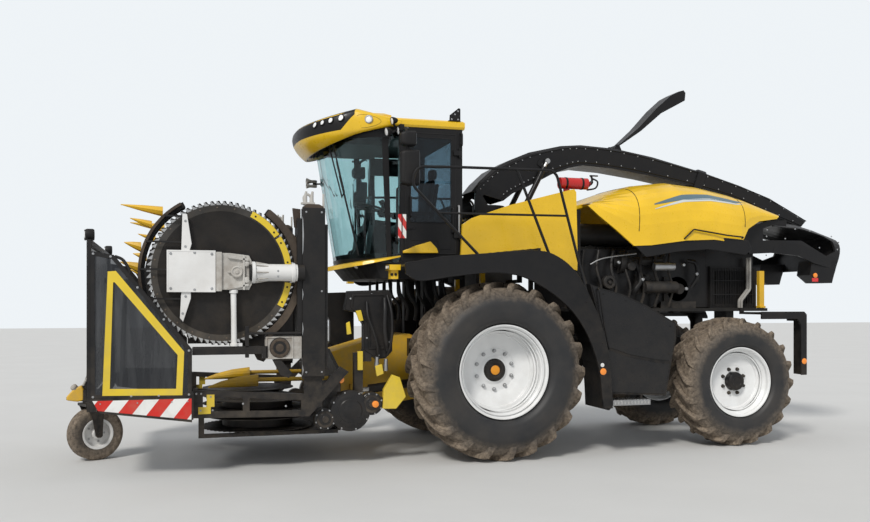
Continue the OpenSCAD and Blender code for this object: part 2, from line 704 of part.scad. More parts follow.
// Lip round the foot of the windscreen; columns at the nose and at the ends: outward, height
lip_nose = [[0, 2292], [180, 2240], [150, 2296], [0, 2329]];
lip_end = [[0, 2395], [25, 2400], [25, 2412], [0, 2418]];
module cab_trim() color(yellow) place() {
    n = 16;
    skin([
        for (i = [0 : n])
            let (a = 180 * i / n, m = pow(sin(a), 0.8))
                [for (j = [0 : 3])
                    let (
                        q = lip_end[j] * (1 - m) + lip_nose[j] * m, inner = j == 0 || j == 3,
                        set_back = 20 * (sill_z - q[1]) / 150,
                        base = bow(base_nose + set_back - 0.5, cab_half + 0.5, n)[i]
                    )
                    inner ? [base[0], base[1], q[1]]
                        : [base[0] - sin(a) * q[0], base[1] - cos(a) * q[0], q[1]]]
    ]);
    // lamp brackets at the front of the platforms
    both() {
        block([-1335, -1400, 2225], [-1205 - seat_gap, -1200, 2286]);
        block([-1310, -1360, 2124], [-1225, -1240, 2226]);
    }
}

module cab_frame() color(black) place() {
    both() {
        block([a_pillar_x - 10, -cab_half, sill_z], [a_pillar_x + 60, -cab_half + pillar, roof_z]);
        block([c_pillar_x - 50, -cab_half, sill_z], [c_pillar_x + 30, -cab_half + pillar, roof_z]);
        block([a_pillar_x, -cab_half, roof_z - 60], [c_pillar_x, -cab_half + pillar, roof_z]);
    }
    for (z = [sill_z + 200, roof_z - 320]) {
        block([hinge_x - 12, hinge_y - 12, z - 22], [hinge_x + 20, -cab_half + 5, z - 2]);
        block([hinge_x - 12, hinge_y - 12, z + 62], [hinge_x + 20, -cab_half + 5, z + 82]);
        translate([hinge_x, hinge_y, z - 10]) cylinder(r = 8, h = 80);
    }
    block([c_pillar_x - 30, -cab_half + 10, roof_z - 60], [c_pillar_x + 30, cab_half - 10, roof_z]);
    bow_sheet([[roof_z - 60, cab_front_top], [roof_z, cab_front_top]], cab_half, 60, 16);
}

// Section of the visor at the sides, at the quarters and at the nose; columns: outward, above the cab
visor_side = [[-260, 0], [0, 0], [18, 3], [30, 12], [38, 28], [36, 52], [10, 80], [-260, 108]];
visor_quarter = [[-260, 0], [8, 0], [25, -98], [62, -110], [98, -60], [96, 110], [30, 190], [-260, 230]];
visor_nose = [[-260, 0], [15, 0], [75, -270], [120, -286], [236, -160], [272, -25], [190, 50], [-260, 160]];
function visor_section(m) = m < 0.5 ? visor_side * (1 - 2 * m) + visor_quarter * 2 * m
    : visor_quarter * (2 - 2 * m) + visor_nose * (2 * m - 1);
// Lid inside the visor; columns: above the cab, set in, rear end
lid_table = [[0, 250, -1100], [180, 250, -1130], [215, 330, -1200], [245, 480, -1260]];
// Slab behind the visor; columns: above the cab, half width, length at its ends
slab_table = [[0, 890, 0], [25, 905, 0], [roof_t - 10, 905, 0], [roof_t + 13, 870, 20]];
module cab_roof() color(yellow) place() translate([0, 0, roof_z + seat_gap]) {
    n = 28;
    skin([
        for (i = [0 : n])
            let (a = 180 * i / n, b = bow(cab_front_top, cab_half, n)[i])
                [for (q = visor_section(sin(a))) [b[0] - sin(a) * q[0], b[1] - cos(a) * q[0], q[1]]]
    ]);
    skin([
        for (s = lid_table)
            at_z(reversed(bow(cab_front_top + s[1], cab_half - s[1], 16, s[2])), s[0])
    ]);
    skin([
        for (s = slab_table)
            let (w = s[1] - 880 + cab_half)
                at_z([[-1140, -w], [c_pillar_x + 55 - s[2], -w], [c_pillar_x + 55 - s[2], w], [-1140, w]], s[0])
    ]);
}

module cab_glass() color(glass) place() {
    bow_sheet(
        [[well_z + seat_gap, cab_front_low], [roof_z - 60 - seat_gap, cab_front_top + 10]],
        cab_half - 15, glass_t, 16, a_pillar_x - 10 - seat_gap
    );
    block([c_pillar_x + 5, -cab_half + pillar + seat_gap, sill_z + seat_gap],
        [c_pillar_x + 5 + glass_t, cab_half - pillar - seat_gap, roof_z - 60 - seat_gap]);
    block([a_pillar_x + 60 + seat_gap, cab_half - 40, sill_z + seat_gap],
        [c_pillar_x - 50 - seat_gap, cab_half - 40 + glass_t, roof_z - 60 - seat_gap]);
}

seat_x = -720;
module seat() color(dark) place() {
    translate([seat_x, 0, sill_z + seat_gap]) cylinder(r = 120, h = 300);
    block([seat_x - 260, -240, sill_z + 290], [seat_x + 240, 240, sill_z + 420]);
    plate(-230, 230, [
        [seat_x + 150, sill_z + 415], [seat_x + 260, sill_z + 415], [seat_x + 330, sill_z + 1010],
        [seat_x + 240, sill_z + 1010]
    ]);
    both() block([seat_x - 180, -310, sill_z + 520], [seat_x + 180, -250, sill_z + 570]);
    both() block([seat_x + 100, -310, sill_z + 350], [seat_x + 150, -230, sill_z + 525]);
}

column_x = -1422;
column_l = 747;
module steering_column() color(black) place() {
    translate([column_x, 0, well_z + seat_gap]) cylinder(r = 60, h = 20);
    translate([column_x, 0, well_z + 10]) rotate([0, 12, 0]) {
        cylinder(r = 40, h = column_l);
        translate([0, 0, column_l]) {
            rotate_extrude() translate([190, 0]) circle(r = 15, $fn = 16);
            for (a = [0 : 120 : 240]) rotate(a) translate([0, -10, -8]) cube([190, 20, 14]);
            translate([0, 0, -15]) cylinder(r = 45, h = 30);
        }
    }
}

// Mirrors on arms at the front corners of the roof, with the work lamps on the same brackets
mirror_outline = [
    [-1480, 3225], [-1450, 3195], [-1370, 3195], [-1340, 3225], [-1340, 3550], [-1370, 3580],
    [-1450, 3580], [-1480, 3550]
];
module mirrors() color(black) place() both() {
    plate_x(-1170, -1110, mirror_outline);
    plate_x(-1160, -1110, [
        [-1480, 3660], [-1460, 3640], [-1360, 3640], [-1340, 3660], [-1340, 3780], [-1360, 3800],
        [-1460, 3800], [-1480, 3780]
    ]);
    block([-1073, -cab_half - 14, roof_z - 78], [-1037, -cab_half - seat_gap, roof_z - 42]);
    tube([[-1055, -cab_half - 6, roof_z - 60], [-1120, -1300, 3860], [-1130, -1410, 3790]], 16);
    tube([[-1130, -1410, 3800], [-1140, -1410, 3570]], 14);
    block([-1130, -1080, 3874], [-1080, -930, 3950]);
}

// Door on the left side, hinged at its rear edge
door_y = -cab_half - 2;
door_x0 = a_pillar_x + 60 + 8;
door_x1 = c_pillar_x - 50 - 8;
door_t = 38;
hinge_x = c_pillar_x - 10;
hinge_y = -cab_half - 24;
module cab_door() {
    // fairing at the door's foot
    color(yellow) place() plate(door_y - 48, door_y - door_t + 36 + eps, [
        [door_x0 + 4, sill_z + 15], [door_x0 + 4, sill_z + 52], [-794, sill_z + 137],
        [-690, sill_z + 80], [-632, sill_z + 15]
    ]);
    color(black) place() door_frame();
}
module door_frame() {
    difference() {
        block([door_x0, door_y - door_t + 36, sill_z + 8], [door_x1, door_y + 36, roof_z - 68]);
        block([door_x0 + 55, door_y - 60, sill_z + 380], [door_x1 - 55, door_y + 60, roof_z - 120]);
    }
    for (z = [sill_z + 200, roof_z - 320]) {
        block([door_x1 - 30, hinge_y - 12, z], [door_x1, door_y + 5, z + 60]);
        difference() {
            block([door_x1 - eps, hinge_y - 12, z], [hinge_x, door_y - 4, z + 60]);
            translate([hinge_x, hinge_y, z - 1]) cylinder(r = 8 + run, h = 62);
        }
        difference() {
            translate([hinge_x, hinge_y, z]) cylinder(r = 15, h = 60);
            translate([hinge_x, hinge_y, z - 1]) cylinder(r = 8 + run, h = 62);
        }
    }
}
module door_glass() color(glass) place()
    block([door_x0 + 55 + seat_gap, door_y - 10, sill_z + 380 + seat_gap],
        [door_x1 - 55 - seat_gap, door_y + glass_t - 10, roof_z - 120 - seat_gap]);

// Spout

spout_pivot = [110, 3250];
collar_z = turret_z + 115 + seat_gap;
spout_ear = [700, 3010];
spout_eye = [1075, 3730];
spout_cyl_y = 290;
// Rotating collar that carries the boom hinge and the lift cylinders
module spout_base() color(black) place() {
    difference() {
        union() {
            translate([turret_x, 0, collar_z]) cylinder(r = collar_r, h = 50);
            translate([turret_x, 0, collar_z + 45]) cylinder(r = 215, h = 130);
            // valve box at the collar's front
            block([-50, -75, collar_z + 5], [90, 75, collar_z + 130]);
            both() {
                plate(-spout_half - 45, -spout_half - 12, [
                    [60, collar_z + 20], [330, collar_z + 20], [spout_pivot[0] + 45, spout_pivot[1] + 10],
                    [spout_pivot[0] + 15, spout_pivot[1] + 40], [spout_pivot[0] - 15, spout_pivot[1] + 40],
                    [spout_pivot[0] - 45, spout_pivot[1] + 10]
                ]);
                block([90, -spout_half - 30, collar_z], [330, -150, collar_z + 50]);
                plate(-spout_cyl_y - 44, -spout_cyl_y - 30, [
                    [560, collar_z], [760, collar_z], [spout_ear[0] + 35, spout_ear[1] + 35],
                    [spout_ear[0] - 35, spout_ear[1] + 35]
                ]);
                block([540, -spout_cyl_y - 44, collar_z - 25], [760, -180, collar_z + 5]);
                block([540, -250, collar_z - 25], [620, -150, collar_z + 45]);
                bar_y(spout_ear[0], spout_ear[1], -spout_cyl_y - 35, -spout_cyl_y + 30, 18);
            }
        }
        both() bar_y(spout_pivot[0], spout_pivot[1], -spout_half - 60, -spout_half, 20 + run);
        translate([turret_x, 0, collar_z - 1]) cylinder(r = 195, h = 180);
    }
}

// Columns of the boom's stations: top X, top Z, bottom X, bottom Z, half width
spout_table = [
    [40, 3300, 470, 3190, 250], [150, 3438, 600, 3290, 250], [330, 3602, 760, 3365, 245],
    [567, 3730, 920, 3440, 240], [850, 3849, 1150, 3560, 235], [1310, 3958, 1400, 3660, 230],
    [1603, 3984, 1620, 3706, 228], [2110, 3962, 2060, 3682, 225], [2691, 3873, 2620, 3612, 220],
    [3479, 3698, 3400, 3480, 212], [4097, 3531, 4000, 3345, 205], [4614, 3363, 4500, 3160, 200],
    [5229, 3062, 5130, 2965, 190]
];
// Box ring between a station's top and bottom with chamfered top corners, drawn in by t
function spout_ring(s, t) =
    let (
        top = [s[0], s[1]], low = [s[2], s[3]], up = unit(top - low), h = norm(top - low),
        w = s[4] - t, c = 35
    )
    [for (q = [[w, t], [w, h - c - t], [w - c, h - t], [-w + c, h - t], [-w, h - c - t], [-w, t]])
        [low[0] + up[0] * q[1], q[0], low[1] + up[1] * q[1]]];
// Duct of wall t through stations; grow makes its outside thicker
module duct(stations, t, grow = 0)
    sheet([for (s = stations) spout_ring(s, -grow)], [for (s = stations) spout_ring(s, t)], true);
// Station at share k between station i and the next one
function between(k, i) = spout_table[i] * (1 - k) + spout_table[i + 1] * k;
// Station at which the tip is flanged on
tip_station = 9;
module spout() color(black) place() {
    duct([for (i = [0 : tip_station]) spout_table[i]], spout_t);
    duct([between(0.91, tip_station - 1), spout_table[tip_station]], spout_t / 2, 18);
    both() {
        bar_y(spout_pivot[0], spout_pivot[1], -spout_half - 44, -spout_half + 5, 20);
        plate(-spout_half - 10, -spout_half + 16, [
            [75, 3235], [145, 3220], [300, 3330], [250, 3480], [90, 3330]
        ]);
        plate(-spout_cyl_y + 42, -222, [
            [950, 3690], [1050, 3620], [1130, 3740], [1075, 3800], [990, 3770]
        ]);
    }
    // ears of the deflector flap
    both() plate(-120, -100, [[2130, 3940], [2270, 3930], [2225, 4035], [2175, 4035]]);
    both() bar_y(flap_pivot[0], flap_pivot[1], -130, -80, 12);
}
module spout_tip() color(black) place() translate([seat_gap, 0, 0]) {
    last = len(spout_table) - 1;
    duct([for (i = [tip_station : last]) spout_table[i]], spout_t);
    duct([spout_table[tip_station], between(0.09, tip_station)], spout_t / 2, 18);
}

// Deflector flap: a tapering trough that stands on the boom; columns: X, Z, half width, depth
flap_pivot = [2200, 4010];
flap_table = [
    [2140, 3985, 70, 12], [2260, 4060, 95, 14], [2520, 4285, 130, 50], [2792, 4571, 150, 90],
    [3000, 4750, 160, 150], [3120, 4815, 165, 150], [3201, 4838, 165, 40]
];
flap_t = 6;
// Line round the trough of a station, drawn in by t
function flap_line(s, t) = [
    for (q = [[1, 1], [1, 0], [-1, 0], [-1, 1]])
        let (down = q[1] > 0 ? s[3] + flap_t : t)
            [s[0] + 0.64 * down, q[0] * (s[2] - t), s[1] - 0.77 * down]
];
module spout_flap() color(dark) place()
    difference() {
        union() {
            sheet([for (s = flap_table) flap_line(s, 0)], [for (s = flap_table) flap_line(s, flap_t)]);
            bar_y(flap_pivot[0], flap_pivot[1], -92, 92, 24);
        }
        bar_y(flap_pivot[0], flap_pivot[1], -200, 200, 12 + run);
    }

// Cylinder between two points of the X and Z plane: barrel at a, rod at b, at height y.
function dir_angle(a, b) = -atan2(b[1] - a[1], b[0] - a[0]);
module barrel(a, b, y, r, pin, len, w)
    translate([a[0], -y, a[1]]) rotate([0, dir_angle(a, b), 0]) difference() {
        union() {
            bar_y(0, 0, -w, w, pin * 1.9);
            bar_x(0, 0, pin * 1.5, pin * 2 + 50, r * 0.5);
            bar_x(0, 0, pin * 2 + 45, len, r);
        }
        bar_y(0, 0, -w - 5, w + 5, pin + run);
        bar_x(0, 0, pin * 2 + 60, len + 5, r * 0.6 + run);
    }
module rod(a, b, y, r, pin, reach, w, inward)
    translate([b[0], -y, b[1]]) rotate([0, dir_angle(a, b) + 180, 0]) {
        bar_y(0, 0, -w, w, pin * 1.9);
        bar_x(0, 0, pin * 1.3, reach, r * 0.6);
        bar_y(0, 0, -w - 8, inward - seat_gap, pin);
    }
spout_cyl_len = norm(spout_eye - spout_ear);
module spout_barrels() color(black) place() both()
    barrel(spout_ear, spout_eye, spout_cyl_y, 36, 18, spout_cyl_len - 90, 22);
module spout_rods() color(steel) place() both()
    rod(spout_ear, spout_eye, spout_cyl_y, 36, 18, spout_cyl_len - 130, 22, 42);

// Hood; columns: top X, top Z, low X, low Z, half width
hood_table = [
    [1500, 3155, 1345, 3080, 960], [1640, 3215, 1488, 2948, 990], [1830, 3305, 1697, 2789, 1010],
    [2060, 3388, 1952, 2578, 1030], [2258, 3440, 2195, 2590, 1040], [2694, 3494, 2700, 2660, 1050],
    [3123, 3456, 3123, 2680, 1040], [3577, 3375, 3562, 2640, 1000], [3800, 3305, 3690, 2840, 960],
    [4040, 3212, 3900, 2950, 900], [4349, 3085, 4240, 3000, 820]
];
tail_table = [
    [4360, 3040, 4200, 2537, 790], [4818, 2992, 4637, 2502, 770], [5120, 2925, 4900, 2408, 745],
    [5500, 2812, 5300, 2320, 700]
];
// Half ring of a station: an arch with exponent e, drawn in by t
function arch_ring(s, t, e, n) =
    let (top = [s[0], s[1]], low = [s[2], s[3]], up = unit(top - low), h = norm(top - low) - t, w = s[4] - t)
    [for (i = [0 : n])
        let (a = 180 * i / n, v = h * power(sin(a), 2 / e))
            [low[0] + up[0] * v, w * power(cos(a), 2 / e), low[1] + up[1] * v]];
module shell(table, t)
    sheet([for (s = table) arch_ring(s, 0, 3.2, 20)], [for (s = table) arch_ring(s, t, 3.2, 20)]);
hood_bracket_y = 490;
module hood() {
    color(yellow) place() {
        shell(hood_table, hood_t);
        both() {
            bar_y(hood_hinge_x, hood_hinge_z, -hood_bracket_y - 10, -432, 14);
            plate(-hood_bracket_y - 10, -hood_bracket_y + 15, [
                [1268, 3090], [1290, 3078], [1420, 3085], [1600, 3140], [1560, 3175], [1420, 3135],
                [1290, 3122], [1270, 3115]
            ]);
        }
    }
    // dark trim under the hood's sides
    color(black) place() both() plate(-1022, -1008, [
        [1950, 2600], [2123, 2440], [2224, 2454], [2587, 2517], [3047, 2554], [3600, 2490], [3700, 2560],
        [3640, 2680], [3123, 2720], [2700, 2700], [2195, 2630]
    ]);
}
// Point of the hood's underside near its middle, at share k between its last two stations
function hood_inside(i) = arch_ring(hood_table[len(hood_table) - i], hood_t, 3.2, 20)[9];
function under_hood(k) = let (p = hood_inside(2) * (1 - k) + hood_inside(1) * k) [p[0], p[2] - seat_gap];
// Opening in each side wall of the tail
tail_window = [
    [4045, 2707], [4690, 2716], [4950, 2590], [5130, 2510], [5310, 2580], [5330, 2720], [5200, 2800],
    [4800, 2890], [4200, 2918], [4045, 2868]
];
module hood_tail() color(black) place() {
    difference() {
        union() {
            shell(tail_table, hood_t);
            both() plate(-785, -755, [
                [3690, 2790], [3928, 2920], [4150, 2975], [4420, 2990], [4420, 2520], [4199, 2537], [3833, 2517]
            ]);
        }
        plate(-900, 900, tail_window);
    }
    plate(-240, 240, [
        under_hood(0.1), under_hood(0.1) - [0, 30], [4290, 3045], [4420, 3005], [4420, 3030], [4370, 3036],
        under_hood(0.9)
    ]);
    skin([for (d = [-24, 0]) [for (p = arch_ring(tail_table[3], 5, 3.2, 20)) p + [d, 0, 0]]]);
    both() plate(-710, -430, [
        [4868, 2240], [4900, 2440], [5330, 2440], [5290, 2300], [5269, 2244], [5235, 2131], [5018, 2130]
    ]);
}

// Header

lift_a = [-450, 900];
lift_b = [-1500, 780];
lift_y = 470;
lift_pin_r = 30;
lift_len = norm(lift_b - lift_a);
feeder_half = 330;
frame_x = -1850;
module lift_barrels() color(black) place() both()
    barrel(lift_a, lift_b, lift_y, 55, lift_pin_r, lift_len - 120, 19);
module lift_rods() color(steel) place() both()
    rod(lift_a, lift_b, lift_y, 55, lift_pin_r, lift_len - 330, 19, 60);

// Feed roll housing, hinged to the chassis
module feeder() color(yellow) place() {
    plate(-feeder_half, feeder_half, [
        [-640, 860], [-640, 1380], [-820, 1460], [-1300, 1400], [frame_x + seat_gap, 1240],
        [frame_x + seat_gap, 520], [-1300, 560], [-760, 640]
    ]);
    both() {
        difference() {
            union() {
                bar_y(feeder_pivot_x, feeder_pivot_z, -405, -325, 75);
            }
            bar_y(feeder_pivot_x, feeder_pivot_z, -430, -340, trunnion_r + run);
        }
        plate(-410, -325, [
            [lift_b[0] - 90, lift_b[1] - 70], [lift_b[0] + 60, lift_b[1] - 60], [lift_b[0] + 60, lift_b[1] + 60],
            [lift_b[0] - 90, lift_b[1] + 70]
        ]);
    }
}

table_half = 1160;
// Inner face of the transport beams from the middle
beam_y = wing_face_y - 10;
module header_frame() color(dark) place() {
    // back wall with the crop opening
    plate_x(-1890, frame_x, [
        [-table_half, 400], [table_half, 400], [table_half, 1080], [420, 1290], [-420, 1290], [-table_half, 1080]
    ]);
    block([-3000, -table_half, 370], [-1880, table_half, 410]);
    block([-1960, -table_half, 560], [-1880, table_half, 700]);
    for (s = [-1, 1]) translate([rotor_c_x, s * rotor_c_y, 400]) {
        cylinder(r = 170, h = 28);
        cylinder(r = 45, h = 320);
    }
    // transport beams beside the table
    both() {
        difference() {
            plate(-beam_y - 50, -beam_y, [
                [-3482, 919], [-2196, 840], [-1893, 1140], [-1800, 1080], [-2240, 598], [-3482, 619]
            ]);
            plate(-beam_y - 65, -beam_y + 15, [[-3380, 850], [-2960, 825], [-2960, 680], [-3380, 685]]);
            plate(-beam_y - 65, -beam_y + 15, [[-2890, 820], [-2330, 780], [-2330, 665], [-2890, 678]]);
        }
        block([-1990, -beam_y - 10, 860], [-1890, -table_half + 10, 1040]);
        block([-3420, -beam_y - 5, 640], [-3360, -table_half + 60, 700]);
        block([-3420, -table_half, 370], [-3360, -table_half + 60, 700]);
        block([-3420, -table_half, 370], [-2990, -table_half + 60, 410]);
        block([post_x0 + 20, -beam_y - 50, 700], [post_x1 - 20, -beam_y, 1010 - seat_gap]);
    }
}
module plate_x(x0, x1, outline)
    translate([x0, 0, 0]) rotate([90, 0, 90]) linear_extrude(x1 - x0) polygon(outline);

// Folded wings: uprights, gear housings and guards
post_x0 = -2318;
post_x1 = -2078;
box_y = wing_face_y + 8;
bow_r = 865;
module wing_frames() color(dark) place() both() {
    block([post_x0, -1440, 1045], [post_x1, -1290, 2895]);
    block([post_x0 - 60, -1420, 1250], [post_x0 + eps, -1200, 2780]);
    block([post_x0, -1400, 1010], [post_x1, -1320, 1050]);
    // gear train in front of the disc
    block([-3749, -1440, 1968], [-3185, -box_y, 2407]);
    block([-3190, -1430, 1990], [-2891, -box_y, 2384]);
    bar_x(-box_y - 88, 2180, -2900, post_x0 + 10, 88);
    block([-2721, -1425, 1249], [post_x0 + eps, -1280, 1493]);
    bar_y(-2571, 1366, -1445, -1420, 110);
    bar_y(rotor_x, wing_rotor_z, -1400, -1080, 45);
    // blades that hold the divider rods
    plate(-1420, -1390, [[-3600, 2400], [-3520, 2400], [-3500, 2480], [-3560, 2790], [-3600, 2790]]);
    plate(-1420, -1390, [[-3600, 1975], [-3510, 1975], [-3510, 1900], [-3600, 1630], [-3620, 1700]]);
    block([-3080, -1430, 1300], [-3027, -1385, 1995]);
    block([-3490, -1440, 1300], [-2700, -1385, 1383]);
    block([-2760, -1440, 1250], [-2700, -1385, 1383]);
    // guard bow round the front of the rotor
    translate([rotor_x, 0, wing_rotor_z]) rotate([90, 0, 0])
        translate([0, 0, 1000]) rotate_extrude(angle = 120, start = 118, $fn = 180)
            polygon([[bow_r - 60, 0], [bow_r, 0], [bow_r, 260], [bow_r - 60, 260]]);
    for (z = [2773, 2498, 2206, 1895])
        let (x = rotor_x - sqrt(pow(bow_r - 30, 2) - pow(z - wing_rotor_z, 2))) {
            block([x - 12, -1412, z - 9], [-3560, -1394, z + 9]);
            block([x - 12, -1412, z - 9], [x + 12, -1250, z + 9]);
        }
    // rear guard between the rotor and the upright
    translate([rotor_x, 0, wing_rotor_z]) rotate([90, 0, 0])
        translate([0, 0, 1200]) rotate_extrude(angle = 110, start = -55, $fn = 180)
            polygon([[800, 0], [860, 0], [860, 140], [800, 140]]);
}

// Crop dividers on the front bow; columns: tip X, tip Z, base Z, Y, height and width of the base
divider_table = [
    [-4225, 2905, 2840, 1130, 110, 140], [-4130, 2760, 2690, 1150, 90, 120],
    [-4190, 2500, 2450, 1140, 110, 110], [-4230, 2290, 2230, 1130, 110, 120]
];
module dividers() color(yellow) place() both() {
    for (d = divider_table)
        let (x = rotor_x - sqrt(pow(bow_r, 2) - pow(d[2] - wing_rotor_z - d[4] / 2, 2)) - seat_gap * 2)
            skin([
                for (s = [0, 0.5, 0.85, 1])
                    let (k = 0.08 + 0.92 * pow(s, 0.8), h = d[4] / 2 * k, w = d[5] / 2 * k)
                        [for (a = [0 : 45 : 315])
                            [d[0] + (x - d[0]) * s, w * cos(a) - d[3], d[1] + (d[2] - d[1]) * s + h * sin(a)]]
            ]);
    // snouts over the table's rotors on arms from the back wall
    skin([
        for (q = [[-3299, 875, 8], [-3150, 905, 38], [-2950, 930, 62], [-2729, 945, 72]])
            [for (a = [0 : 30 : 330]) [q[0], q[2] * 0.9 * cos(a) - 600, q[1] + q[2] * sin(a)]]
    ]);
    bar_x(-600, 950, -2735, -1890 - seat_gap, 25);
}

// Transport guard: side frames, front frame and the head of the swivel wheel
guard_y = 1560;
guard_side = [
    [-4494, 2379], [-4268, 2342], [-3497, 1368], [-3497, 600], [-4403, 725], [-4494, 850]
];
module guard_frame() color(black) place() {
    both() {
        difference() {
            plate(-guard_y, -guard_y + 40, guard_side);
            plate(-guard_y - 10, -guard_y + 50, [
                [-4440, 2330], [-4290, 2300], [-3545, 1350], [-3545, 900], [-4440, 905]
            ]);
        }
        block([-3560, -guard_y + 5, 625], [-3482 - seat_gap, -1336, 905]);
        block([-4500, -guard_y + 5, 740], [-4440, -1300, 830]);
    }
    plate_x(guard_x, guard_x + 40, [
        [-1540, 740], [1540, 740], [1540, 2500], [1480, 2500], [1480, 840], [-1480, 840],
        [-1480, 2500], [-1540, 2500]
    ]);
    block([guard_x, -1500, 2440], [guard_x + 40, 1500, 2500]);
    block([guard_x, -1500, 740], [guard_x + 90, 1500, 835]);
    both() block([-4560, -1480, 2495], [-4470, -1400, 2600]);
    difference() {
        block([-4710, -70, 700], [guard_x + 5, 70, 832]);
        translate([swivel_x, 0, 690]) cylinder(r = 30 + run, h = 200);
    }
    // nose ahead of the swivel head with a lamp bracket
    plate(-62, 62, [[-4879, 722], [-4879, 752], [-4800, 842], [-4709, 876], [-4705, 700], [-4740, 702]]);
    plate(-30, 30, [[-4709 - eps, 830], [-4709 - eps, 870], [-4648, 1037], [-4616, 1037], [-4650, 830]]);
}
module guard_sheets() color(dark) place() {
    both() plate(-guard_y - seat_gap - 3, -guard_y - seat_gap, [
        [-4490, 2374], [-4270, 2338], [-3500, 1366], [-3500, 872], [-4490, 880]
    ]);
    plate_x(guard_x - seat_gap - 3, guard_x - seat_gap, [[-1535, 860], [1535, 860], [1535, 2480], [-1535, 2480]]);
}

// Gear case with round lobes, oil tank and hydraulic quadrant beside the table's rear end
// Columns: X, Z, radius
case_lobes = [[-2050, 546, 120], [-1764, 631, 230], [-1515, 704, 130]];
case_y0 = table_half + 130;
case_y1 = table_half + 20;
module drive_case() color(black) place() both() {
    for (q = case_lobes) {
        bar_y(q[0], q[1], -case_y0 + (230 - q[2]) / 12, -case_y1, q[2]);
        bar_y(q[0], q[1], -case_y0 - 12, -case_y0 + 60, q[2] * 0.78);
        bar_y(q[0], q[1], -case_y0 - 26, -case_y0, q[2] * 0.3);
    }
    plate(-case_y1 - 20, -case_y1 + 100, [
        [-1815, 1769], [-1774, 1987], [-1300, 2003], [-1260, 1940], [-1254, 1296], [-1330, 1215],
        [-1439, 1202], [-1593, 1301], [-1593, 1603], [-1663, 1741]
    ]);
    block([-1700, -case_y1 - 20, 830], [-1600, -case_y1 + 80, 1280]);
    block([-1602, -case_y1 - 20, 1180], [-1500, -case_y1 + 80, 1320]);
    block([frame_x + seat_gap, -case_y1 - 10, 600], [-1700, -case_y1 + 80, 700]);
    plate(-case_y0 - 10, -case_y0 + 50, [
        [-1389, 646], [-1234, 641], [-1120, 775], [-1191, 997], [-1276, 1027], [-1375, 864]
    ]);
    block([-1440, -case_y0 + 10, 690], [-1340, -case_y1, 770]);
}

// Rotors
rotor_c_x = -2740;
rotor_c_y = 660;
drum_r = 400;
knife_depth = 30;
// Lowest disc with a ring of saw teeth that carries the drum
module rotor(r, bore, teeth) {
    root = r - knife_depth;
    step = 360 / teeth;
    rotate_extrude($fn = 96) polygon([
        [bore, 0], [root, 0], [root, 8], [drum_r, 20], [drum_r, 330], [120, 360], [0, 360], [0, 300], [bore, 300]
    ]);
    linear_extrude(7) difference() {
        polygon([
            for (i = [0 : teeth - 1])
                for (q = [[root - 6, 0], [r, 0.35], [r, 0.6], [root - 6, 0.9]])
                    q[0] * [cos((i + q[1]) * step), sin((i + q[1]) * step)]
        ]);
        circle(r = drum_r + 50, $fn = 96);
    }
    for (h = [120, 220, 320])
        translate([0, 0, h]) difference() {
            cylinder(r = root - 40, h = 8, $fn = 96);
            translate([0, 0, -1]) cylinder(r = drum_r - 10, h = 10);
        }
}
module rotor_wing(s) color(brown) place()
    translate([rotor_x, s * wing_face_y, wing_rotor_z]) rotate([s * 90, 0, 0]) rotor(rotor_r, 45 + run, 72);
module rotor_centre(s) color(brown) place()
    translate([rotor_c_x, s * rotor_c_y, 430]) rotor(650, 45 + run, 60);

// Transport wheel
swivel_x = caster_x - 73;
// Distance by which the wheel trails its swivel pin
caster_trail = 80;
fork_x = swivel_x + caster_trail;
caster_axle_r = 20;
// Angle at which the swivel wheel stands
caster_turn = 25;
module caster_place() place() translate([swivel_x, 0, 0]) rotate(caster_turn) translate([-swivel_x, 0, 0]) children();
module caster_fork() color(dark) caster_place() {
    translate([swivel_x, 0, 640]) cylinder(r = 65, h = 60 - seat_gap);
    translate([swivel_x, 0, 640]) cylinder(r = 30, h = 180);
    block([-4720, -135, 640], [-4500, 135, 672]);
    both() plate(-135, -115, [
        [-4720, 672], [-4500, 672], [-4520, 420], [fork_x + 40, caster_r - 20], [fork_x + 20, caster_r - 40],
        [fork_x - 20, caster_r - 40], [fork_x - 40, caster_r - 20], [-4640, 500]
    ]);
    bar_y(fork_x, caster_r, -150, 150, caster_axle_r);
}
module caster_wheel() color(rubber) caster_place() translate([fork_x, 0, caster_r]) {
    tyre(caster_d, 200, 356);
    rotate([90, 0, 0]) rotate_extrude($fn = 64) polygon([
        [caster_axle_r + run, -95], [60, -95], [60, -15], [150, -15], [150, -85], [178, -95], [182, -95],
        [182, 95], [178, 95], [150, 85], [150, 15], [60, 15], [60, 95], [caster_axle_r + run, 95]
    ]);
}

chassis_frame();
rear_beam();
body_frame();
front_axle();
rear_axle();
engine();
cooling_box();
chopper_housing();
spout_turret();
side_tanks();
front_fenders();
rear_fenders();
handrails();
side_panels();
extinguisher();
cab_base();
cab_frame();
cab_roof();
cab_trim();
cab_glass();
seat();
steering_column();
mirrors();
cab_door();
door_glass();
feeder();
header_frame();
wing_frames();
dividers();
guard_frame();
guard_sheets();
drive_case();
rotor_wing(-1);  // rotor_wl
rotor_wing(1);  // rotor_wr
rotor_centre(-1);  // rotor_cl
rotor_centre(1);  // rotor_cr
caster_fork();
caster_wheel();
spout_base();
spout();
spout_tip();
spout_flap();
spout_barrels();
spout_rods();
hood();
hood_tail();
lift_barrels();
lift_rods();
tie_rod();
knuckle(-1);  // knuckle_l
knuckle(1);  // knuckle_r
front_tyre(-1);  // tyre_fl
front_tyre(1);  // tyre_fr
rear_tyre(-1);  // tyre_rl
rear_tyre(1);  // tyre_rr
front_rim(-1);  // rim_fl
front_rim(1);  // rim_fr
rear_rim(-1);  // rim_rl
rear_rim(1);  // rim_rr
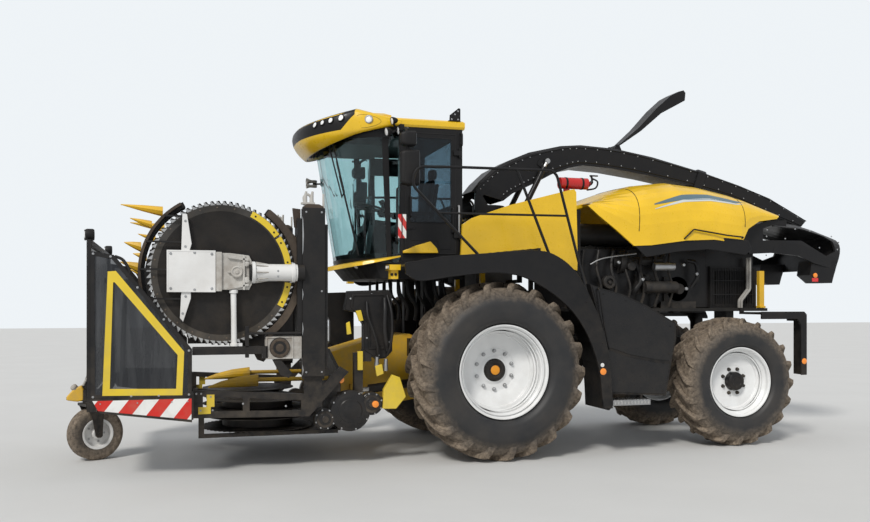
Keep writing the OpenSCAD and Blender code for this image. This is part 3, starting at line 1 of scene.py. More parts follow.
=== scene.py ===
# %% [markdown]
# # A forage harvester with its maize header folded for the road
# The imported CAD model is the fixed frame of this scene. Every new part is placed on it with the
# same numbers that the drawing uses, so nothing has to be fitted by eye.

# %% Load the frame
import math

import bmesh
import bpy
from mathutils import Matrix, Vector


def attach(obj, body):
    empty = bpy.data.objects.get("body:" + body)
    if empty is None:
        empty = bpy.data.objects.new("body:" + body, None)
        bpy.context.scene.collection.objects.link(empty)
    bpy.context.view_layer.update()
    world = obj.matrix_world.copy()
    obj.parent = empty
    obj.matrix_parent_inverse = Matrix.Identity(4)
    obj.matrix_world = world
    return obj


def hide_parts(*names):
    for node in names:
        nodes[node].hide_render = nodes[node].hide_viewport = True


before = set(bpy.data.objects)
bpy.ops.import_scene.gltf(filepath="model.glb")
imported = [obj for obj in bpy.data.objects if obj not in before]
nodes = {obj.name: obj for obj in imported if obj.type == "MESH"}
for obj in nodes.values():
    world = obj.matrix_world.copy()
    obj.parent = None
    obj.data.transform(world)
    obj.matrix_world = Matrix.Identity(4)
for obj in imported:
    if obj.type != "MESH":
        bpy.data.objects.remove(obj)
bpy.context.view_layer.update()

# %% [markdown]
# ## The camera
# The photograph is taken from about eye height, some 11 metres to the machine's left, with the
# camera level. A level camera keeps upright edges upright. The horizon lies under the middle of
# the picture, and a lens shift does that without tilting the camera.

# %% Set up the camera
PICTURE_W, PICTURE_H = 870, 522
FOCAL_PX = 900.0
HORIZON_ROW = 303.0
CAMERA_SPOT = (-4.01, -11.32, 1.85)
CAMERA_TURN = 16.3
SENSOR_MM = 36.0

camera_data = bpy.data.cameras.new("camera")
camera = bpy.data.objects.new("camera", camera_data)
bpy.context.scene.collection.objects.link(camera)
camera_data.sensor_width = SENSOR_MM
camera_data.lens = SENSOR_MM * FOCAL_PX / PICTURE_W
camera_data.shift_y = (HORIZON_ROW - PICTURE_H / 2) / PICTURE_W
camera.location = CAMERA_SPOT
camera.rotation_euler = (math.radians(90), 0, math.radians(-CAMERA_TURN))
bpy.context.scene.camera = camera
print("camera: lens", round(camera_data.lens, 2), "mm, shift", round(camera_data.shift_y, 4))

# %% [markdown]
# ## Working in the drawing's numbers
# The drawing counts millimetres from the middle of the front axle, minus towards the header.
# A small class collects points and faces in those numbers, and turns them into metres of the
# shared frame only when the piece is made. Many small parts go in one piece that way.

# %% A class that collects points and faces
AXLE_X = -310.0


class Shape:
    def __init__(self):
        self.points = []
        self.faces = []

    def add(self, points, faces):
        start = len(self.points)
        self.points += [tuple(p) for p in points]
        self.faces += [[start + i for i in face] for face in faces]
        return self

    def copy_of(self, other, move=lambda p: p):
        return self.add([move(p) for p in other.points], other.faces)

    def mirrored(self):
        both = Shape().copy_of(self)
        start = len(both.points)
        both.points += [(x, -y, z) for x, y, z in self.points]
        both.faces += [[start + i for i in reversed(face)] for face in self.faces]
        return both


# %% Turn a shape into a Blender object
def make(shape, name, material, body, slot, bevel=0.0, sharp=35.0, segments=2):
    mesh = bpy.data.meshes.new(name)
    mesh.from_pydata(
        [((x + AXLE_X) / 1000, y / 1000, z / 1000) for x, y, z in shape.points], [], shape.faces
    )
    drawn = bmesh.new()
    drawn.from_mesh(mesh)
    bmesh.ops.recalc_face_normals(drawn, faces=drawn.faces)
    drawn.to_mesh(mesh)
    drawn.free()
    mesh.shade_smooth()
    mesh.set_sharp_from_angle(angle=math.radians(sharp))
    mesh.materials.append(material)
    piece = bpy.data.objects.new(name, mesh)
    bpy.context.scene.collection.objects.link(piece)
    if bevel:
        rounding = piece.modifiers.new("rounded edges", "BEVEL")
        rounding.width = bevel / 1000
        rounding.segments = segments
        rounding.limit_method = "ANGLE"
        rounding.angle_limit = math.radians(38)
    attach(piece, body)
    return piece


# %% [markdown]
# ## The basic cuts
# Nearly every part of a farm machine is bent sheet, cut plate, tube, a turned part or a bolt.
# One short function for each of them is enough, and each adds its faces to a shape.

# %% Blocks and cut plates
def spot_on(axis, p, along):
    """Puts the coordinate along the axis among the other two."""
    values = list(p)
    values.insert("xyz".index(axis), along)
    return values


def add_prism(shape, outline, axis, start, end):
    """Cuts an outline along an axis; the outline gives the other two coordinates in their order."""
    count = len(outline)
    points = [spot_on(axis, p, along) for along in (start, end) for p in outline]
    faces = [list(range(count)), list(range(2 * count - 1, count - 1, -1))]
    faces += [[i, (i + 1) % count, count + (i + 1) % count, count + i] for i in range(count)]
    return shape.add(points, faces)


def add_block(shape, low, high):
    outline = [(low[0], low[1]), (high[0], low[1]), (high[0], high[1]), (low[0], high[1])]
    return add_prism(shape, outline, "z", low[2], high[2])


# %% Rings joined into a skin, tubes and turned parts
def add_rings(shape, rings, capped=True, closed=True):
    count = len(rings[0])
    points = [p for ring in rings for p in ring]
    faces = []
    for i in range(len(rings) - 1):
        for j in range(count if closed else count - 1):
            a, b = i * count + j, i * count + (j + 1) % count
            faces.append([a, b, b + count, a + count])
    if capped:
        faces.append(list(range(count)))
        faces.append([(len(rings) - 1) * count + j for j in reversed(range(count))])
    return shape.add(points, faces)


def add_tube(shape, path, radius, sides=12):
    path = [Vector(p) for p in path]
    radii = radius if isinstance(radius, list) else [radius] * len(path)
    rings = []
    side = None
    for i, spot in enumerate(path):
        heading = (path[min(i + 1, len(path) - 1)] - path[max(i - 1, 0)]).normalized()
        if side is None:
            side = heading.orthogonal()
        side = (side - heading * side.dot(heading)).normalized()
        up = heading.cross(side)
        turns = [2 * math.pi * j / sides for j in range(sides)]
        rings.append(
            [spot + radii[i] * (side * math.cos(t) + up * math.sin(t)) for t in turns]
        )
    return add_rings(shape, rings)


def axis_frame(axis):
    along = Vector(axis).normalized()
    side = along.orthogonal().normalized()
    return along, side, along.cross(side)


def add_turned(shape, profile, centre, axis, steps=40):
    """Turns a profile of (radius, distance along the axis) round the axis."""
    along, side, up = axis_frame(axis)
    centre = Vector(centre)
    rings = []
    for radius, out in profile:
        ring = []
        for j in range(steps):
            turn = 2 * math.pi * j / steps
            ring.append(
                centre + along * out + max(radius, 0.01) * (side * math.cos(turn) + up * math.sin(turn))
            )
        rings.append(ring)
    return add_rings(shape, rings)


# %% Bolts, bent paths and hoses
LEFT = (0, -1, 0)


def add_bolt(shape, centre, axis, size=10.0):
    """Hexagon head of radius size on a washer, standing on a face at centre."""
    along, side, up = axis_frame(axis)
    centre = Vector(centre)
    add_turned(shape, [(size * 1.35, -1), (size * 1.35, size * 0.22)], centre, axis, 14)
    rings = []
    for radius, out in ((size, 0.0), (size, size * 0.75), (size * 0.8, size * 0.9)):
        turns = [math.pi / 3 * j for j in range(6)]
        rings.append(
            [centre + along * out + radius * (side * math.cos(t) + up * math.sin(t)) for t in turns]
        )
    return add_rings(shape, rings)


def add_bolts(shape, spots, y, size):
    """Bolts on an upright face that looks to the left; spots are (x, z)."""
    for x, z in spots:
        add_bolt(shape, (x, y, z), LEFT, size)


def bent(path, radius, steps=5):
    """Rounds the inner corners of a path."""
    path = [Vector(p) for p in path]
    line = [path[0]]
    for before, here, after in zip(path, path[1:], path[2:]):
        a, b = (before - here).normalized(), (after - here).normalized()
        angle = a.angle(b) / 2
        cut = min(radius / math.tan(angle), (before - here).length / 2, (after - here).length / 2)
        start, end = here + a * cut, here + b * cut
        for k in range(steps + 1):
            t = k / steps
            line.append(start * (1 - t) ** 2 + here * 2 * t * (1 - t) + end * t**2)
    return line + [path[-1]]


def flowing(points, steps=8):
    """A smooth line through the points, for hoses."""
    points = [Vector(p) for p in points]
    padded = [points[0] * 2 - points[1]] + points + [points[-1] * 2 - points[-2]]
    line = []
    for a, b, c, d in zip(padded, padded[1:], padded[2:], padded[3:]):
        for k in range(steps):
            t = k / steps
            line.append(
                0.5 * (2 * b + (c - a) * t + (2 * a - 5 * b + 4 * c - d) * t**2
                       + (3 * b - a - 3 * c + d) * t**3)
            )
    return line + [points[-1]]


print("cuts ready")

# %% [markdown]
# ## Finishes
# A machine that has worked a season has dust on its faces, and earth where the wheels throw it.
# Every finish is built from the same few layers: a base colour with a slow change in tone, dust
# that lies thicker low down and on flat tops, and a fine bump. The layers are nodes, so a finish
# has no image and fits any size.

# %% Short names for the nodes
finish_names = []


def new_finish(name):
    finish_names.append(name)
    material = bpy.data.materials.new(name)
    material.use_nodes = True
    tree = material.node_tree
    shader = tree.nodes["Principled BSDF"]
    return material, tree, shader


def add_node(tree, kind, **inputs):
    node = tree.nodes.new(kind)
    for key, value in inputs.items():
        socket = node.inputs[key.replace("_", " ")]
        if isinstance(value, bpy.types.NodeSocket):
            tree.links.new(value, socket)
        else:
            socket.default_value = value
    return node


def place_on_piece(tree):
    return tree.nodes.new("ShaderNodeTexCoord").outputs["Object"]


def add_noise(tree, place, scale, detail=4.0, rough=0.55):
    return add_node(
        tree, "ShaderNodeTexNoise", Vector=place, Scale=scale, Detail=detail, Roughness=rough
    ).outputs["Fac"]


def add_range(tree, value, low, high, to_low=0.0, to_high=1.0):
    node = add_node(tree, "ShaderNodeMapRange", Value=value)
    for socket, number in zip(node.inputs[1:5], (low, high, to_low, to_high)):
        socket.default_value = number
    return node.outputs[0]


def add_math(tree, kind, a, b=0.0):
    node = tree.nodes.new("ShaderNodeMath")
    node.operation = kind
    for socket, value in zip(node.inputs, (a, b)):
        if isinstance(value, bpy.types.NodeSocket):
            tree.links.new(value, socket)
        else:
            socket.default_value = value
    return node.outputs[0]


def add_mix(tree, share, first, second):
    node = tree.nodes.new("ShaderNodeMix")
    node.data_type = "RGBA"
    for index, value in ((0, share), (6, first), (7, second)):
        if isinstance(value, bpy.types.NodeSocket):
            tree.links.new(value, node.inputs[index])
        else:
            node.inputs[index].default_value = value if index == 0 else (*value, 1.0)
    return node.outputs[2]


# %% Dust that lies low and on flat tops
DUST = (0.30, 0.235, 0.165)


def dust_share(tree, place, amount, low_z, high_z):
    """Share of dust from 0 to 1: patchy, thick under low_z, thin above high_z, more on tops."""
    spot = add_node(tree, "ShaderNodeSeparateXYZ", Vector=place).outputs["Z"]
    low = add_range(tree, spot, low_z, high_z, 1.0, 0.12)
    normal = tree.nodes.new("ShaderNodeNewGeometry").outputs["Normal"]
    facing = add_node(tree, "ShaderNodeSeparateXYZ", Vector=normal).outputs["Z"]
    top = add_range(tree, facing, 0.25, 1.0, 0.0, 0.5)
    patches = add_range(tree, add_noise(tree, place, 5.0, 8.0, 0.7), 0.36, 0.68)
    both = add_math(tree, "MAXIMUM", low, top)
    return add_math(tree, "MULTIPLY", add_math(tree, "MULTIPLY", both, patches), amount)


# %% Painted sheet and moulded plastic
def painted(name, colour, rough=0.32, dust=0.35, grain=0.06, coat=0.0, low_z=0.5, high_z=2.2,
            tone=0.12, metal=0.0, earth=DUST, spec=0.5):
    material, tree, shader = new_finish(name)
    place = place_on_piece(tree)
    slow = add_range(tree, add_noise(tree, place, 2.3, 3.0), 0.35, 0.65)
    darker = tuple(c * (1 - tone) for c in colour)
    base = add_mix(tree, slow, darker, colour)
    share = dust_share(tree, place, dust, low_z, high_z)
    tree.links.new(add_mix(tree, share, base, earth), shader.inputs["Base Color"])
    smear = add_range(tree, add_noise(tree, place, 28.0, 6.0), 0.3, 0.7, rough, rough + 0.14)
    dull = add_math(tree, "ADD", smear, add_math(tree, "MULTIPLY", share, 0.5))
    tree.links.new(dull, shader.inputs["Roughness"])
    fine = add_noise(tree, place, 420.0, 2.0)
    bump = add_node(tree, "ShaderNodeBump", Strength=grain, Distance=0.002, Height=fine)
    tree.links.new(bump.outputs[0], shader.inputs["Normal"])
    shader.inputs["Metallic"].default_value = metal
    shader.inputs["Specular IOR Level"].default_value = spec
    shader.inputs["Coat Weight"].default_value = coat
    shader.inputs["Coat Roughness"].default_value = 0.12
    return material


panel_yellow = painted("panel_yellow", (0.90, 0.56, 0.012), 0.24, 0.16, 0.03, coat=0.35, high_z=2.6)
frame_yellow = painted("frame_yellow", (0.80, 0.47, 0.012), 0.38, 0.55, 0.12, low_z=0.6, high_z=2.6)
panel_black = painted("panel_black", (0.010, 0.010, 0.011), 0.3, 0.10, 0.05, coat=0.05, spec=0.25)
moulded_black = painted("moulded_black", (0.013, 0.013, 0.014), 0.48, 0.14, 0.3, spec=0.22)
chassis_black = painted("chassis_black", (0.013, 0.013, 0.013), 0.45, 0.4, 0.2, low_z=0.4, high_z=1.7,
                        spec=0.3)
header_black = painted("header_black", (0.012, 0.012, 0.013), 0.4, 0.24, 0.12, low_z=0.4, high_z=1.6,
                       spec=0.3)
cast_grey = painted("cast_grey", (0.34, 0.33, 0.31), 0.5, 0.35, 0.5, low_z=0.5, high_z=2.6, tone=0.3)
# Near black: the engine's dark paint, with the shade of the engine bay painted into it.
engine_paint_and_shade = painted("engine_paint_and_shade", (0.020, 0.020, 0.021), 0.45, 0.3, 0.4, low_z=1.2, high_z=2.6,
                      spec=0.3)
rim_white = painted("rim_white", (0.86, 0.87, 0.87), 0.28, 0.22, 0.05, coat=0.2, low_z=0.1, high_z=1.6)
bright_steel = painted("bright_steel", (0.62, 0.62, 0.61), 0.2, 0.1, 0.05, metal=1.0)
worn_steel = painted("worn_steel", (0.16, 0.13, 0.11), 0.42, 0.75, 0.35, metal=0.55, tone=0.45,
                     low_z=2.0, high_z=4.2)
signal_red = painted("signal_red", (0.55, 0.012, 0.01), 0.25, 0.1, 0.03, coat=0.3)
print("painted finishes:", len(finish_names))

# %% Tyre rubber with dried earth on the tread
def tyre_finish(name, tread_r, wheel_x, wheel_z):
    material, tree, shader = new_finish(name)
    place = place_on_piece(tree)
    apart = add_node(tree, "ShaderNodeSeparateXYZ", Vector=place)
    dx = add_math(tree, "SUBTRACT", apart.outputs["X"], wheel_x)
    dz = add_math(tree, "SUBTRACT", apart.outputs["Z"], wheel_z)
    squares = add_math(tree, "ADD", add_math(tree, "MULTIPLY", dx, dx), add_math(tree, "MULTIPLY", dz, dz))
    reach = add_math(tree, "SQRT", squares)
    ragged = add_math(tree, "MULTIPLY", add_noise(tree, place, 9.0, 8.0, 0.65), 0.16)
    outer = add_range(tree, add_math(tree, "ADD", reach, ragged), tread_r - 0.12, tread_r + 0.06)
    clods = add_range(tree, add_noise(tree, place, 24.0, 10.0, 0.7), 0.34, 0.6)
    tint = add_mix(tree, clods, (0.085, 0.065, 0.048), (0.27, 0.215, 0.16))
    film = add_range(tree, add_noise(tree, place, 3.5, 6.0), 0.3, 0.7, 0.0, 0.14)
    rubber = add_mix(tree, film, (0.015, 0.016, 0.018), (0.16, 0.13, 0.1))
    tree.links.new(add_mix(tree, outer, rubber, tint), shader.inputs["Base Color"])
    tree.links.new(add_range(tree, outer, 0.0, 1.0, 0.55, 0.92), shader.inputs["Roughness"])
    height = add_math(tree, "MULTIPLY", clods, outer)
    bump = add_node(tree, "ShaderNodeBump", Strength=0.55, Distance=0.012, Height=height)
    tree.links.new(bump.outputs[0], shader.inputs["Normal"])
    return material


# %% Tinted glass
def glazing(name, colour, rough=0.02):
    material, tree, shader = new_finish(name)
    place = place_on_piece(tree)
    film = add_range(tree, add_noise(tree, place, 6.0, 5.0), 0.35, 0.75, rough, rough + 0.06)
    tree.links.new(film, shader.inputs["Roughness"])
    tint = add_mix(tree, add_range(tree, add_noise(tree, place, 1.5), 0.3, 0.7), colour,
                   tuple(c * 0.88 for c in colour))
    tree.links.new(tint, shader.inputs["Base Color"])
    shader.inputs["Transmission Weight"].default_value = 1.0
    shader.inputs["IOR"].default_value = 1.03
    shader.inputs["Coat Weight"].default_value = 0.7
    shader.inputs["Coat Roughness"].default_value = 0.02
    return material


cab_tint = glazing("cab_tint", (0.60, 0.78, 0.79))
door_tint = glazing("door_tint", (0.14, 0.20, 0.26))
print("finishes with glass:", len(finish_names))

# %% [markdown]
# ## Finishes for the small parts
# Warning plates are striped by their place alone: a slanted coordinate is divided by the stripe's
# pitch, and what is left of the whole number chooses the colour. The film on the guard is dark
# vinyl that lets a little light through.

# %% Striped plates and see-through film
def striped(name, first, second, pitch, lean):
    material, tree, shader = new_finish(name)
    place = place_on_piece(tree)
    apart = add_node(tree, "ShaderNodeSeparateXYZ", Vector=place)
    slant = add_math(tree, "MULTIPLY", apart.outputs["Z"], lean)
    along = add_math(tree, "ADD", apart.outputs["X"], slant)
    band = add_math(tree, "FRACT", add_math(tree, "DIVIDE", along, pitch))
    edge = add_range(tree, band, 0.49, 0.51)
    film = add_mix(tree, edge, first, second)
    dust = add_range(tree, add_noise(tree, place, 7.0, 6.0), 0.45, 0.8, 0.0, 0.3)
    tree.links.new(add_mix(tree, dust, film, DUST), shader.inputs["Base Color"])
    comb = add_noise(tree, place, 520.0, 1.0)
    bump = add_node(tree, "ShaderNodeBump", Strength=0.12, Distance=0.001, Height=comb)
    tree.links.new(bump.outputs[0], shader.inputs["Normal"])
    shader.inputs["Roughness"].default_value = 0.33
    return material


def film(name, colour, share):
    material, tree, shader = new_finish(name)
    place = place_on_piece(tree)
    stretched = add_node(tree, "ShaderNodeMapping", Vector=place)
    stretched.inputs["Scale"].default_value = (9.0, 9.0, 1.1)
    folds = add_noise(tree, stretched.outputs[0], 1.6, 5.0)
    streak = add_range(tree, folds, 0.45, 0.72, 0.0, 0.35)
    tree.links.new(add_mix(tree, streak, colour, (0.09, 0.095, 0.10)), shader.inputs["Base Color"])
    bump = add_node(tree, "ShaderNodeBump", Strength=0.5, Distance=0.01, Height=folds)
    tree.links.new(bump.outputs[0], shader.inputs["Normal"])
    tree.links.new(add_range(tree, folds, 0.3, 0.7, 0.18, 0.4), shader.inputs["Roughness"])
    shader.inputs["Alpha"].default_value = share
    return material


# %% A woven cover and fluted lamp glass
def woven(name, colour, thread=0.0016):
    material, tree, shader = new_finish(name)
    place = place_on_piece(tree)
    waves = []
    for direction in ("X", "Z"):
        wave = add_node(tree, "ShaderNodeTexWave", Vector=place, Scale=1 / thread / 20)
        wave.bands_direction = direction
        waves.append(wave.outputs["Fac"])
    weave = add_math(tree, "MULTIPLY", waves[0], waves[1])
    tone = add_range(tree, add_noise(tree, place, 12.0, 5.0), 0.3, 0.7)
    base = add_mix(tree, tone, colour, tuple(c * 1.7 for c in colour))
    tree.links.new(add_mix(tree, weave, base, tuple(c * 0.6 for c in colour)), shader.inputs["Base Color"])
    bump = add_node(tree, "ShaderNodeBump", Strength=0.4, Distance=0.001, Height=weave)
    tree.links.new(bump.outputs[0], shader.inputs["Normal"])
    shader.inputs["Roughness"].default_value = 0.88
    shader.inputs["Sheen Weight"].default_value = 0.2
    return material


def lamp_glass(name, colour, rough=0.16):
    material, tree, shader = new_finish(name)
    place = place_on_piece(tree)
    flutes = add_node(tree, "ShaderNodeTexVoronoi", Vector=place, Scale=160.0).outputs["Distance"]
    shade = add_range(tree, flutes, 0.0, 0.7)
    tree.links.new(
        add_mix(tree, shade, colour, tuple(min(1, c * 1.35 + 0.02) for c in colour)),
        shader.inputs["Base Color"],
    )
    bump = add_node(tree, "ShaderNodeBump", Strength=0.35, Distance=0.002, Height=flutes)
    tree.links.new(bump.outputs[0], shader.inputs["Normal"])
    shader.inputs["Roughness"].default_value = rough
    shader.inputs["Coat Weight"].default_value = 0.6
    return material


# %% The small parts' finishes
red_white = striped("red_white", (0.62, 0.02, 0.012), (0.82, 0.82, 0.80), 0.30, -0.78)
red_white_small = striped("red_white_small", (0.62, 0.02, 0.02), (0.82, 0.82, 0.80), 0.13, 0.62)
guard_film = film("guard_film", (0.016, 0.018, 0.022), 0.84)
seat_cloth = woven("seat_cloth", (0.022, 0.023, 0.027))
reflector_orange = lamp_glass("reflector_orange", (0.85, 0.22, 0.01))
reflector_red = lamp_glass("reflector_red", (0.55, 0.01, 0.01))
lamp_white = lamp_glass("lamp_white", (0.72, 0.74, 0.75), 0.08)
mirror_face = painted("mirror_face", (0.62, 0.68, 0.72), 0.04, 0.05, 0.0, metal=1.0, tone=0.05)
hub_orange = painted("hub_orange", (0.86, 0.33, 0.01), 0.35, 0.12, 0.05, low_z=0.2, high_z=1.6)
white_paint = painted("white_paint", (0.80, 0.80, 0.79), 0.36, 0.28, 0.12, low_z=1.0, high_z=2.9,
                      tone=0.10)
cast_white = painted("cast_white", (0.58, 0.565, 0.53), 0.55, 0.85, 0.6, low_z=1.6, high_z=3.2,
                     tone=0.25, earth=(0.17, 0.125, 0.085))
galvanised = painted("galvanised", (0.50, 0.51, 0.52), 0.34, 0.22, 0.2, metal=0.85, tone=0.25)
rust_brown = painted("rust_brown", (0.062, 0.044, 0.032), 0.7, 0.45, 0.6, tone=0.45, low_z=0.4,
                     high_z=3.0)
hose_rubber = painted("hose_rubber", (0.010, 0.010, 0.011), 0.42, 0.12, 0.25, high_z=1.8, spec=0.35)
disc_dark = painted("disc_dark", (0.020, 0.018, 0.017), 0.4, 0.3, 0.35, metal=0.5, tone=0.5,
                    low_z=1.0, high_z=3.2, earth=(0.11, 0.085, 0.06))
gloss_black = painted("gloss_black", (0.008, 0.008, 0.009), 0.24, 0.05, 0.04, coat=0.25, spec=0.3)
tape_yellow = painted("tape_yellow", (0.80, 0.58, 0.03), 0.4, 0.3, 0.25, low_z=0.5, high_z=2.6)
stripe_blue = painted("stripe_blue", (0.10, 0.17, 0.21), 0.28, 0.1, 0.03, coat=0.3)
stripe_pale = painted("stripe_pale", (0.62, 0.66, 0.66), 0.28, 0.1, 0.03, coat=0.3)
print("finishes with the small parts:", len(finish_names))

# %% [markdown]
# ## Dress the CAD nodes
# Where the solid already has the real shape it stays, and only its finish changes. A finish goes
# into the object's material slots, so the mesh isn't touched.

# %% Give each node its finish
FINISHES = {
    "chassis_frame": chassis_black, "front_axle": chassis_black, "rear_axle": chassis_black,
    "knuckle_l": chassis_black, "knuckle_r": chassis_black, "tie_rod": bright_steel,
    "body_frame": chassis_black, "engine": engine_paint_and_shade, "cooling_box": moulded_black,
    "chopper_housing": chassis_black, "spout_turret": panel_black, "side_tanks": moulded_black,
    "front_fenders": panel_black, "rear_fenders": moulded_black, "handrails": panel_black,
    "side_panels": panel_yellow, "extinguisher": signal_red, "cab_base": moulded_black,
    "cab_frame": panel_black, "cab_roof": panel_yellow, "cab_glass": cab_tint,
    "door_glass": door_tint, "seat": moulded_black, "steering_column": moulded_black,
    "mirrors": moulded_black, "cab_door": panel_black, "feeder": frame_yellow,
    "header_frame": header_black, "wing_frames": header_black, "dividers": frame_yellow,
    "guard_frame": header_black, "guard_sheets": header_black, "drive_case": header_black,
    "rotor_wl": disc_dark, "rotor_wr": disc_dark, "rotor_cl": disc_dark,
    "rotor_cr": disc_dark, "caster_fork": header_black, "caster_wheel": rim_white,
    "spout_base": panel_black, "spout": panel_black, "spout_flap": panel_black,
    "spout_barrels": panel_black, "spout_rods": bright_steel, "hood": panel_yellow,
    "hood_tail": panel_black, "lift_barrels": panel_black, "lift_rods": bright_steel,
    "rim_fl": rim_white, "rim_fr": rim_white, "rim_rl": rim_white, "rim_rr": rim_white,
    "rear_beam": chassis_black, "cab_trim": panel_yellow, "spout_tip": panel_black,
}
for name, finish in FINISHES.items():
    for holder in nodes[name].material_slots:
        holder.material = finish
print("dressed nodes:", len(FINISHES))

# %% [markdown]
# ## The tyres
# The lugs carry the machine over soft ground: curved bars that run from the middle of the tread
# to the shoulder, alternately left and right. The carcass is a turned section. Each lug is a
# skin over rings that follow the tread round its curve, so it sits in the rubber everywhere.

# %% The tyre's section
SECTION = [(0.0, 0.74), (0.035, 0.86), (0.12, 0.95), (0.28, 0.995), (0.45, 1.0), (0.62, 0.985),
           (0.76, 0.95), (0.87, 0.89), (0.94, 0.81), (0.98, 0.70), (1.0, 0.45), (1.0, 0.0)]


def section_at(share):
    """Height and half width on the tyre's outline; share 0 is the bead, 1 the tread's middle."""
    spot = share * (len(SECTION) - 1)
    i = min(int(spot), len(SECTION) - 2)
    t = spot - i
    return tuple(a * (1 - t) + b * t for a, b in zip(SECTION[i], SECTION[i + 1]))


# %% One tyre with its lugs
def tyre_shape(outer_r, width, rim_r, lugs, lug_h, sides=96):
    """The axle runs along Y at the origin."""
    bead = rim_r + 22
    rise = outer_r - bead

    def surface(share, sunk):
        height, half = section_at(share)
        depth = sunk * min(1.0, max(0.0, (height - 0.5) / 0.3))
        return bead + height * rise - depth, half * width / 2 - depth * 0.35 * (half > 0.3)

    carcass = Shape()
    shares = [i / 33 for i in range(34)]
    half_line = [surface(s, lug_h) for s in shares]
    inner = [(rim_r + 1, width * 0.37), (rim_r + 4, width * 0.37 + 12)]
    profile = inner + half_line + [(r, -y) for r, y in reversed(half_line[:-1])]
    profile += [(r, -y) for r, y in reversed(inner)]
    rings = []
    for j in range(sides):
        turn = 2 * math.pi * j / sides
        rings.append([(r * math.cos(turn), y, r * math.sin(turn)) for r, y in profile])
    add_rings(carcass, rings + rings[:1], capped=False)
    for side in (-1, 1):
        for k in range(lugs):
            base = 2 * math.pi * (k + (0.5 if side > 0 else 0.0)) / lugs
            add_lug(carcass, surface, base, side, outer_r, lug_h, width)
    return carcass


def add_lug(shape, surface, base, side, outer_r, lug_h, width):
    sweep = 0.5 * width / outer_r
    stations = [1.02, 0.985, 0.955, 0.92, 0.87, 0.80, 0.72, 0.63, 0.54]
    rings = []
    for i, share in enumerate(stations):
        over = share > 1
        r_low, y_low = surface(min(share, 1.0), lug_h + 6)
        r_top, y_top = surface(min(share, 1.0), 0)
        if over:
            y_low = y_top = -0.045 * width
        fade = 1.0 if i < len(stations) - 2 else (0.55 if i == len(stations) - 2 else 0.12)
        r_top = r_low + (r_top - r_low) * fade
        y_top = y_low + (y_top - y_low) * fade
        reach = max(y_low, 0) / (width / 2)
        turn = base + sweep * (reach**0.85 if reach > 0 else -0.05)
        half_top = 0.021 + 0.014 * reach
        half_low = half_top * 1.8
        ring = []
        for r, y, t in ((r_low, y_low, turn - half_low), (r_top, y_top, turn - half_top),
                        (r_top, y_top, turn + half_top), (r_low, y_low, turn + half_low)):
            ring.append((r * math.cos(t), side * y, r * math.sin(t)))
        rings.append(ring)
    add_rings(shape, rings)


# %% Put the tyres on the machine
def place_wheel(shape, x, y, z):
    return Shape().copy_of(shape, lambda p: (p[0] + x, p[1] + y, p[2] + z))


WHEELBASE = 3350.0
FRONT_R, REAR_R = 1050, 830
FRONT_WHEEL = (0, -1220, FRONT_R)
REAR_WHEEL = (WHEELBASE, -1020, REAR_R)
front_rubber = tyre_finish("front_rubber", 1.02, AXLE_X / 1000, 1.05)
rear_rubber = tyre_finish("rear_rubber", 0.80, (WHEELBASE + AXLE_X) / 1000, 0.83)
caster_rubber = tyre_finish("caster_rubber", 0.31, -4.88, 0.31)
front_tyre = tyre_shape(FRONT_R, 800, 533.5, lugs=21, lug_h=64)
rear_tyre = tyre_shape(REAR_R, 620, 432, lugs=20, lug_h=50)
print("front tyre faces:", len(front_tyre.faces), "rear tyre faces:", len(rear_tyre.faces))
for end, shape, (x, y, z), rubber, bevel in (
    ("f", front_tyre, FRONT_WHEEL, front_rubber, 5), ("r", rear_tyre, REAR_WHEEL, rear_rubber, 4),
):
    for mark, way in ((end + "l", 1), (end + "r", -1)):
        tyre = make(place_wheel(shape, x, way * y, z), "lugged_tyre_" + mark, rubber, "wheel_" + mark,
                    "tyre_rubber", bevel=bevel, sharp=30, segments=1)
        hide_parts("tyre_" + mark)

# %% [markdown]
# ## Hubs
# The front hub is a black cap with an orange centre, set deep in the rim, inside a ring of ten
# wheel nuts. The rear hub stands out of its rim.

# %% A hub cap with its nuts
def hub_shapes(x, y, z, profile, nut_r, nuts, nut_out, size):
    """Returns the cap and the nuts of a left wheel; its outward direction is -Y."""
    cap, nut_ring = Shape(), Shape()
    add_turned(cap, profile, (x, y, z), LEFT, 48)
    for k in range(nuts):
        turn = 2 * math.pi * (k + 0.5) / nuts
        spot = (x + nut_r * math.cos(turn), y - nut_out, z + nut_r * math.sin(turn))
        add_turned(nut_ring, [(size * 1.3, -2), (size * 1.3, 4)], spot, LEFT, 18)
        add_turned(nut_ring, [(size, 3), (size, 30), (size * 0.8, 33), (size * 0.5, 34)], spot, LEFT, 6)
    return cap, nut_ring


FRONT_HUB = [(137, -64), (137, -14), (120, -4), (116, 6), (98, 14), (80, 15), (74, 6), (0, 6)]
FRONT_CENTRE = [(56, 5), (56, 10), (48, 15), (0, 17)]
REAR_HUB = [(123, 55), (123, 120), (118, 150), (112, 168), (96, 178), (66, 180), (60, 174), (0, 174)]
front_cap, front_nuts = hub_shapes(*FRONT_WHEEL, FRONT_HUB, 230, 10, -38, 19)
rear_cap, rear_nuts = hub_shapes(*REAR_WHEEL, REAR_HUB, 165, 8, 81, 19)
front_centre = add_turned(Shape(), FRONT_CENTRE, FRONT_WHEEL, LEFT, 40)


# %% Steps in the rims
def add_hoops(shape, hoops, centre, steps=80):
    """Rings round a left wheel's axle; each hoop is a closed section of (radius, outward)."""
    for section in hoops:
        rings = []
        for radius, out in section + section[:1]:
            turns = [2 * math.pi * j / steps for j in range(steps)]
            rings.append([(centre[0] + radius * math.cos(t), centre[1] - out,
                           centre[2] + radius * math.sin(t))
                          for t in turns])
        add_rings(shape, rings, capped=False)
    return shape


